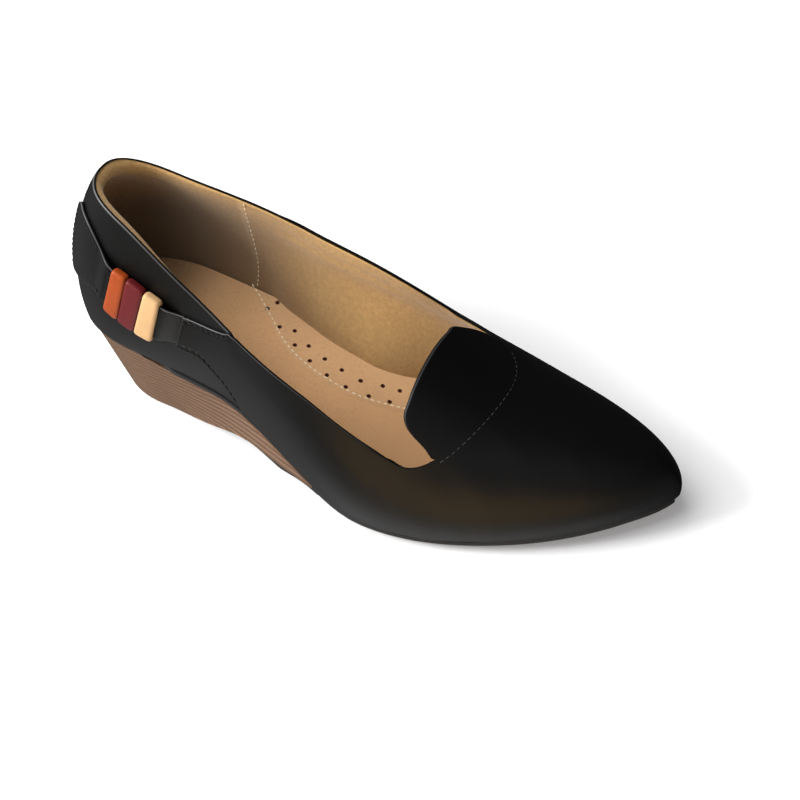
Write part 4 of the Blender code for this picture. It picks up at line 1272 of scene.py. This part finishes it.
class PUMP_OT_wedge(bpy.types.Operator):
    """Add the stacked wedge"""
    bl_idname = "pump.add_wedge"
    bl_label = "Wedge"

    def execute(self, context):
        sizes, colours = settings(context)
        layer, groove = sizes.layer / MM, sizes.groove / MM
        turn = quarter_turn(46)
        heel = len(turn)
        ahead = np.linspace(HEEL_CENTRE, WEDGE_END, 90)[1:]
        nominal = np.append(HEEL_CENTRE - HEEL_CENTRE * np.cos(turn), ahead)
        levels = np.concatenate([LIFT + layer * (k + np.array(LAYER_STEPS)) for k in LAYERS])

        def wall(side, z):
            """Points of the wedge's side at heights z, one row of places for each."""
            joint = np.abs((z - LIFT) / layer - np.rint((z - LIFT) / layer)) * layer
            low = LOW_RIB_GAIN * (z - wedge_bottom(nominal)[:, None])
            clear = np.minimum(wedge_rim(nominal)[:, None] - z, low)
            rib = groove * (1 - smooth(joint / RIB_HALF)) * smooth(clear / RIB_CLEAR)
            up = z / FEATHER["z"][0]
            back = HEEL_BASE_BACK * (1 - up) + rib
            heel_x = HEEL_CENTRE - (HEEL_CENTRE - back[:heel]) * np.cos(turn)[:, None]
            base = HEEL_BASE_HALF + (HALF_WIDTH[side]["heel"] - HEEL_BASE_HALF) * np.minimum(up, 1.0) - rib
            heel_y = base[:heel] * np.sin(turn)[:, None] ** (2 / HEEL_POWER)
            far = ahead[:, None] + 0 * z[heel:]
            share = np.clip(z[heel:] / feather(far), 0.0, WALL_MOST)
            bottom = foot_half(side, far)
            widths = bottom + (half_width(side, far) - bottom) * share - rib[heel:]
            return np.stack([np.concatenate([heel_x, far]), side * np.concatenate([heel_y, widths]), z], -1)

        walls = []
        for side in (OUTER, INNER):
            top = wedge_rim(nominal)[:, None]
            bottom = wedge_bottom(nominal)[:, None]
            for _ in range(4):
                top = wedge_rim(wall(side, top)[..., 0])
                bottom = wedge_bottom(wall(side, bottom)[..., 0])
            walls.append(wall(side, np.clip(levels[None, :], bottom, np.maximum(top, bottom + WALL_LEAST))))
        outer, inner = walls
        share = np.array(SEAT_STEPS)[None, :, None]
        floor, seat = (outer[:, k, None] * (1 - share) + inner[:, k, None] * share for k in (0, -1))
        x, y, z = np.moveaxis(seat, -1, 0)
        lip = np.minimum(np.abs(y - outer[:, -1, 1, None]), np.abs(y - inner[:, -1, 1, None]))
        seat[..., 2] = np.where(lip > RIM_WIDTH, np.minimum(z, wedge_top(x)), z)
        front = np.concatenate([outer[-1:], inner[-1:]])
        wedge = shell("wedge", outer, inner, floor, seat, front)
        finish_piece(wedge, stacked_finish("wedge_stack", colours, layer), "wedge_stack", "wedge", angle=60)
        return {"FINISHED"}


def base_half(side, x):
    """Width of the wedge at its foot."""
    u = np.clip((HEEL_CENTRE - x) / (HEEL_CENTRE - HEEL_BASE_BACK), 0, 1)
    return np.where(x < HEEL_CENTRE, HEEL_BASE_HALF * heel_round(u), foot_half(side, x))


def tread_block(name, x, ends, heights, bevel, field, relief):
    """A block with a low wall and a rounded bevel at each edge and a relief in its underside."""
    low, high = (np.asarray(end)[:, None] for end in ends)
    bottom, top = (np.asarray(height)[:, None] for height in heights)
    wall = np.maximum(top - SOLE_EDGE, (top + bottom) / 2)
    bevel = np.minimum(np.asarray(bevel)[:, None], (high - low) * BEVEL_SHARE)
    turn = quarter_turn(8)
    near = low + bevel * (1 - np.cos(turn))
    far = high - bevel * (1 - np.cos(turn[::-1]))
    across = near[:, -1:] + (far[:, :1] - near[:, -1:]) * np.linspace(0, 1, field)[1:-1]
    y = np.concatenate([low, near, across, far, high, low], axis=1)
    side = wall + (bottom - wall) * np.sin(turn)
    floor = bottom + relief(x[:, None], across, near[:, -1:], far[:, :1])
    z = np.concatenate([top, side, floor, side[:, ::-1], top, top], axis=1)
    rings = np.stack([np.repeat(x[:, None], y.shape[1], axis=1), y, z], -1)
    caps = [np.repeat(ring[:-1].mean(axis=0)[None], len(ring), axis=0) for ring in (rings[0], rings[-1])]
    return shell(name, np.concatenate([caps[:1], rings, caps[1:]]))


def ribs(place, half):
    """1 in a groove at every whole number, 0 between grooves."""
    return 1 - smooth(np.abs(place - np.rint(place)) / half)


def sole_relief(x, y, low, high):
    """The forepart's oval field: a fine line round it and waved grooves across it."""
    share = 2 * (y - low) / (high - low) - 1
    along = (x - TREAD_MIDDLE) / TREAD_REACH
    ring = np.abs(along) ** TREAD["power"] + np.abs(share) ** TREAD["power"]
    off = ring - TREAD["ring"]
    edge = ribs(np.where(np.abs(off) < TREAD["ring_near"], off * 2, 0.5), TREAD["ring_half"])
    inside = 1 - smooth((ring - TREAD["inside"]) / TREAD["inside_soft"])
    waved = x + TREAD["wave"] * np.sin(y * TREAD["wave_turn"])
    groove = ribs(waved / TREAD["pitch"], TREAD["groove_half"])
    fine = TREAD["fine"] * (0.5 + 0.5 * np.sin(y * TREAD["fine_turn"]))
    field = TREAD["depth"] * groove + fine * (1 - groove) + TREAD["sunk"]
    return TREAD["ring_depth"] * edge + inside * field


class PUMP_OT_sole(bpy.types.Operator):
    """Add the outsole and the heel lift"""
    bl_idname = "pump.add_sole"
    bl_label = "Outsole and heel lift"

    def execute(self, context):
        colours = settings(context)[1]
        start, tip = LIFT_FRONT + 2 * GAP, LENGTH - SOLE_INSET["toe"]
        x = np.concatenate([
            np.linspace(start, SOLE_WAIST_END, 40),
            np.linspace(SOLE_FIELD_START, SOLE_FIELD_END, 190)[:-1],
            SOLE_FIELD_END + (tip - SOLE_FIELD_END) * np.sin(quarter_turn(30)),
        ])
        blend = ramp(x, PLATE_END, WEDGE_END)
        ends = []
        for side in (OUTER, INNER):
            plain = side * (base_half(side, np.minimum(x, SWING_START)) - PLATE_INSET)
            ends.append(plain + (inset_edge(side, x, SOLE_INSET) - plain) * blend)
        rise = 1 - ramp(x, WEDGE_ARCH_X, TREAD_START)
        spring = TOE_SPRING * np.maximum(0.0, (x - TREAD_END) / (LENGTH - TREAD_END)) ** SPRING_POWER
        bottom = (wedge_bottom(x) - GAP - WAIST_PLATE) * rise + spring
        top = np.where(x <= WEDGE_END + GAP, wedge_bottom(x), wedge_top(x)) - GAP
        bevel = SOLE_BEVEL * blend + LIFT_TAPER
        outsole = tread_block("outsole", x, ends, (bottom, top), bevel, 150, sole_relief)
        finish_piece(outsole, rubber_finish("outsole_rubber", colours.rubber), "outsole_rubber", "outsole")

        start = HEEL_BASE_BACK + LIFT_INSET
        turn = np.sin(quarter_turn(40)[::-1])
        heel = HEEL_CENTRE - (HEEL_CENTRE - start) * turn
        x = np.unique(np.append(heel, np.linspace(start + LIFT_RIM, LIFT_FRONT, 150)))
        outer, inner = (np.maximum(base_half(side, x) - LIFT_INSET, LIFT_LEAST) for side in (OUTER, INNER))
        pitch = (LIFT_FRONT - 1 - start - LIFT_MARGIN) / LIFT_GROOVES

        def across(x, y, low, high):
            """Straight grooves across the lift, shallow at its rim."""
            inside = smooth((y - low) / LIFT_RIM) * smooth((high - y) / LIFT_RIM)
            place = (x - start - LIFT_MARGIN) / pitch - 0.5
            return LIFT_GROOVE * inside * ribs(place, LIFT_GROOVE_HALF)

        flat = np.zeros(x.shape)
        heights = flat, flat + LIFT
        lift = tread_block("heel_lift", x, (-outer, inner), heights, flat + LIFT_TAPER, 40, across)
        finish_piece(lift, rubber_finish("lift_rubber", colours.rubber), "lift_rubber", "heel_lift")
        return {"FINISHED"}


def stitch_row(points, normals, pitch):
    """Places and axes of stitches along a path in millimetres."""
    run = np.append(0.0, np.cumsum(np.linalg.norm(np.diff(points, axis=0), axis=1)))
    count = max(int(run[-1] / pitch), 1)
    at = (np.arange(count) + 0.5) * run[-1] / count

    def along_path(values, offset):
        return np.stack([np.interp(at + offset, run, values[:, k]) for k in range(3)], -1)

    place, up = along_path(points, 0.0), along_path(normals, 0.0)
    along = along_path(points, STITCH_SPAN) - along_path(points, -STITCH_SPAN)
    along /= np.linalg.norm(along, axis=1, keepdims=True)
    across = np.cross(up, along)
    across /= np.linalg.norm(across, axis=1, keepdims=True)
    return place, np.stack([along, across, np.cross(along, across)], 1)


def sew(name, rows, length, material, slot, width, height):
    """Model one stitch and copy it along every row."""
    stitch = added(bpy.ops.mesh.primitive_uv_sphere_add, segments=8, ring_count=6, radius=0.5)
    bpy.ops.object.mode_set(mode="EDIT")
    bpy.ops.mesh.select_all(action="SELECT")
    bpy.ops.transform.rotate(value=math.pi / 2, orient_axis="Y", center_override=(0, 0, 0))
    bpy.ops.transform.resize(value=(length, width, height), center_override=(0, 0, 0))
    bpy.ops.object.mode_set(mode="OBJECT")
    one = np.array([v.co[:] for v in stitch.data.vertices])
    faces = [tuple(p.vertices) for p in stitch.data.polygons]
    verts, polygons = [], []
    for place, axes in rows:
        for p, a in zip(place, axes):
            start = len(verts) * len(one)
            verts.append((one @ a + p + STAND) * MM)
            polygons += [tuple(start + i for i in f) for f in faces]
    mesh = bpy.data.meshes.new(name)
    mesh.from_pydata(np.concatenate(verts).tolist(), [], polygons)
    mesh.update()
    stitch.data = mesh
    stitch.name = name
    return finish_piece(stitch, material, slot)


def on_skin(side, x, v, offset):
    """A path on the last with its normals."""
    return skin(side, x, v, offset), facing(side, x, v)


def at_height(x, z, offset):
    """A path on the last's outer side at given heights, with its normals."""
    return on_skin(OUTER, x, share_at(OUTER, x, z, True), offset)


class PUMP_OT_stitches(bpy.types.Operator):
    """Add the rows of stitches"""
    bl_idname = "pump.add_stitches"
    bl_label = "Stitches"

    def execute(self, context):
        sizes, colours = settings(context)
        pitch, length = sizes.stitch_pitch / MM, sizes.stitch / MM
        overlay = sizes.overlay / MM
        over = SLACK + overlay

        def thread(kind):
            return thread_finish(kind + "_thread", getattr(colours, kind + "_thread"))

        wing_x, wing_z, top_x, top_z = (table[k][0] for table in (WING, WING_TOP) for k in ("x", "z"))
        x = np.linspace(wing_x + STITCH_LEAD, WING_ROW_END, 60)
        wing = at_height(x, through(x, WING) + TROUGH["low"], over + wing_lift(x))
        t = np.linspace(*PANEL_ROW, 20)
        x = wing_x + (top_x - wing_x) * t + PANEL_INSET
        panel = at_height(x, wing_z + (top_z - wing_z) * t, over + wing_lift(x))
        x = np.linspace(top_x + STITCH_LEAD, CREST_ROW_END, 30)
        crest = at_height(x, through(x, WING_TOP) - TROUGH["high"], over + wing_lift(x))
        rows = [wing, panel, crest]
        flag_x = FLAG_START + FLAG_INSET
        for high, inset in enumerate((FLAG_INSET, -FLAG_INSET)):
            x = np.linspace(flag_x, FLAG_ROW_ENDS[high], 40)
            edge = strap_edges(x)[high]
            z = last(OUTER, *edge)[0][:, 2] + inset
            rows.append(at_height(edge[0], z, strap_offset(x) + overlay + FLAG_STEP))
        low, high = (edge[1][0] for edge in strap_edges(np.array([flag_x])))
        v = np.linspace(low + FLAG_ROW_MARGIN, high - FLAG_ROW_MARGIN, 30)
        rows.append(on_skin(OUTER, np.full(30, flag_x), v, over + FLAG_STEP))
        dark = [stitch_row(*row, pitch) for row in rows]
        sew("dark_stitches", dark, length, thread("dark"), "vamp_leather", 0.5, 0.44)

        rows = []
        for side, start in THROAT_ROW_START.items():
            corner, throat = TOPLINE[side]["corner_x"], THROAT_X + THROAT_INSET
            x = corner + (throat - corner) * np.sin(np.linspace(start, math.pi / 2, 60))
            v = top_share(side, x, throat, THROAT_WIDER)
            rows.append(on_skin(side, x, v, SLACK + vamp_thickness(side, x, v, THROAT_INSET, overlay)))
        path = [np.concatenate([a, b[::-1]]) for a, b in zip(*rows)]
        sew("throat_stitches", [stitch_row(*path, pitch)], length, thread("grey"), "vamp_leather", 0.26, 0.2)

        x = np.linspace(*INSET_ROW, 120)
        y = through(x, INSET_LINE, "y") + INSET_ROW_IN
        sewn = np.stack([x, y, insole_height(x, y) + INSET_ROW_RISE], -1)
        upward = np.tile((0.0, 0.0, 1.0), (len(x), 1))
        v = np.linspace(*SEAM_ROW, 60)
        x = through(v, LINING_SEAM, "x", "v") + SEAM_ROW_AHEAD
        inside = -(sizes.leather + sizes.lining) / MM - SEAM_ROW_RISE
        seam, normals = on_skin(INNER, x, v, inside)
        pale = [stitch_row(sewn, upward, pitch), stitch_row(seam, -normals, pitch)]
        sew("pale_stitches", pale, length, thread("pale"), "insole_tan", 0.5, 0.42)
        return {"FINISHED"}


class PUMP_OT_stage(bpy.types.Operator):
    """Add the floor, the studio light and the camera"""
    bl_idname = "pump.add_stage"
    bl_label = "Stage"

    def execute(self, context):
        sizes, colours = settings(context)
        floor = added(bpy.ops.mesh.primitive_plane_add, size=sizes.floor)
        floor.name = "floor"
        glow = {"Emission Color": (1, 1, 1), "Emission Strength": FLOOR_GLOW}
        made = Finish("floor_paper", {"Specular IOR Level": 0.1, **glow})
        cloud = made.noise(3.0, 2.0)
        made.set("Base Color", made.mix(cloud, shade(colours.floor, 0.99), colours.floor))
        made.set("Roughness", 0.9)
        floor.data.materials.append(made.material)
        floor.visible_glossy = False

        world = bpy.data.worlds.new("studio")
        world.use_nodes = True
        context.scene.world = world
        studio = Nodes(world.node_tree, "Background")
        toward = studio.node("ShaderNodeTexCoord", out="Generated")
        height, front = (studio.node("ShaderNodeSeparateXYZ", None, {0: toward}, out=k) for k in "ZY")
        room = studio.mix(studio.ease(front, *FAR_WALL_EDGE), colours.wall, colours.far_wall)
        room = studio.mix(studio.ease(height, *CEILING_EDGE), room, colours.ceiling)
        under = studio.ease(height, *BELOW_EDGE) * studio.ease(front, *BELOW_FRONT)
        room = studio.mix(under, room, colours.below)
        dot = {"operation": "DOT_PRODUCT"}
        for aim, colour in ((WARM_CARD, colours.warm_card), (COOL_CARD, colours.cool_card)):
            near = studio.node("ShaderNodeVectorMath", dot, {0: toward, 1: aim}, out="Value")
            room = studio.mix(studio.ease(near, *CARD_EDGE), room, colour)
        studio.set("Color", room)
        studio.set("Strength", STUDIO_STRENGTH)
        self.light("key", place=(-0.94, -0.66, 0.80), target=(0.0, 0.0, 0.03), size=0.55, power=24.0)
        fill = self.light("fill", place=(-0.76, -0.53, 2.1), target=(0.0, 0.0, 0.02), size=2.0, power=58.0)
        fill.visible_glossy = False

        camera = added(bpy.ops.object.camera_add)
        columns = [CAMERA_RIGHT, CAMERA_UP, CAMERA_BACK, (np.array(CAMERA_AT) + STAND) * MM]
        camera.matrix_world = Matrix([[float(c[r]) for c in columns] for r in range(3)] + [(0, 0, 0, 1)])
        camera.data.sensor_width = CAMERA_SENSOR
        camera.data.lens = CAMERA_LENS
        camera.data.clip_start = 0.01
        context.scene.camera = camera
        context.scene.view_settings.view_transform = "Standard"
        context.scene.view_settings.gamma = VIEW_GAMMA
        return {"FINISHED"}

    def light(self, name, place, target, size, power):
        lamp = added(bpy.ops.object.light_add, type="AREA", location=place)
        lamp.name = name
        lamp.data.shape, lamp.data.size, lamp.data.energy = "SQUARE", size, power
        lamp.rotation_euler = (Vector(target) - Vector(place)).to_track_quat("-Z", "Y").to_euler()
        return lamp


class PUMP_PT_panel(bpy.types.Panel):
    """The pump's sizes, colours and pieces"""
    bl_label = "Wedge pump"
    bl_idname = "PUMP_PT_panel"
    bl_space_type = "VIEW_3D"
    bl_region_type = "UI"
    bl_category = "Pump"

    def draw(self, context):
        for group in (context.scene.pump_sizes, context.scene.pump_colours):
            for key in group.__annotations__:
                self.layout.prop(group, key)
        for operator in OPERATORS:
            self.layout.operator(operator.bl_idname)


OPERATORS = (
    PUMP_OT_stage, PUMP_OT_quarter, PUMP_OT_vamp, PUMP_OT_tab, PUMP_OT_strap, PUMP_OT_loops,
    PUMP_OT_insole, PUMP_OT_welt, PUMP_OT_wedge, PUMP_OT_sole, PUMP_OT_stitches,
)
CLASSES = (PumpSizes, PumpColours) + OPERATORS + (PUMP_PT_panel,)


def register():
    for kind in CLASSES:
        bpy.utils.register_class(kind)
    bpy.types.Scene.pump_sizes = PointerProperty(type=PumpSizes)
    bpy.types.Scene.pump_colours = PointerProperty(type=PumpColours)


def unregister():
    del bpy.types.Scene.pump_colours
    del bpy.types.Scene.pump_sizes
    for kind in reversed(CLASSES):
        bpy.utils.unregister_class(kind)


def main():
    register()
    for operator in OPERATORS:
        group, name = operator.bl_idname.split(".")
        getattr(getattr(bpy.ops, group), name)()


if __name__ == "__main__":
    main()
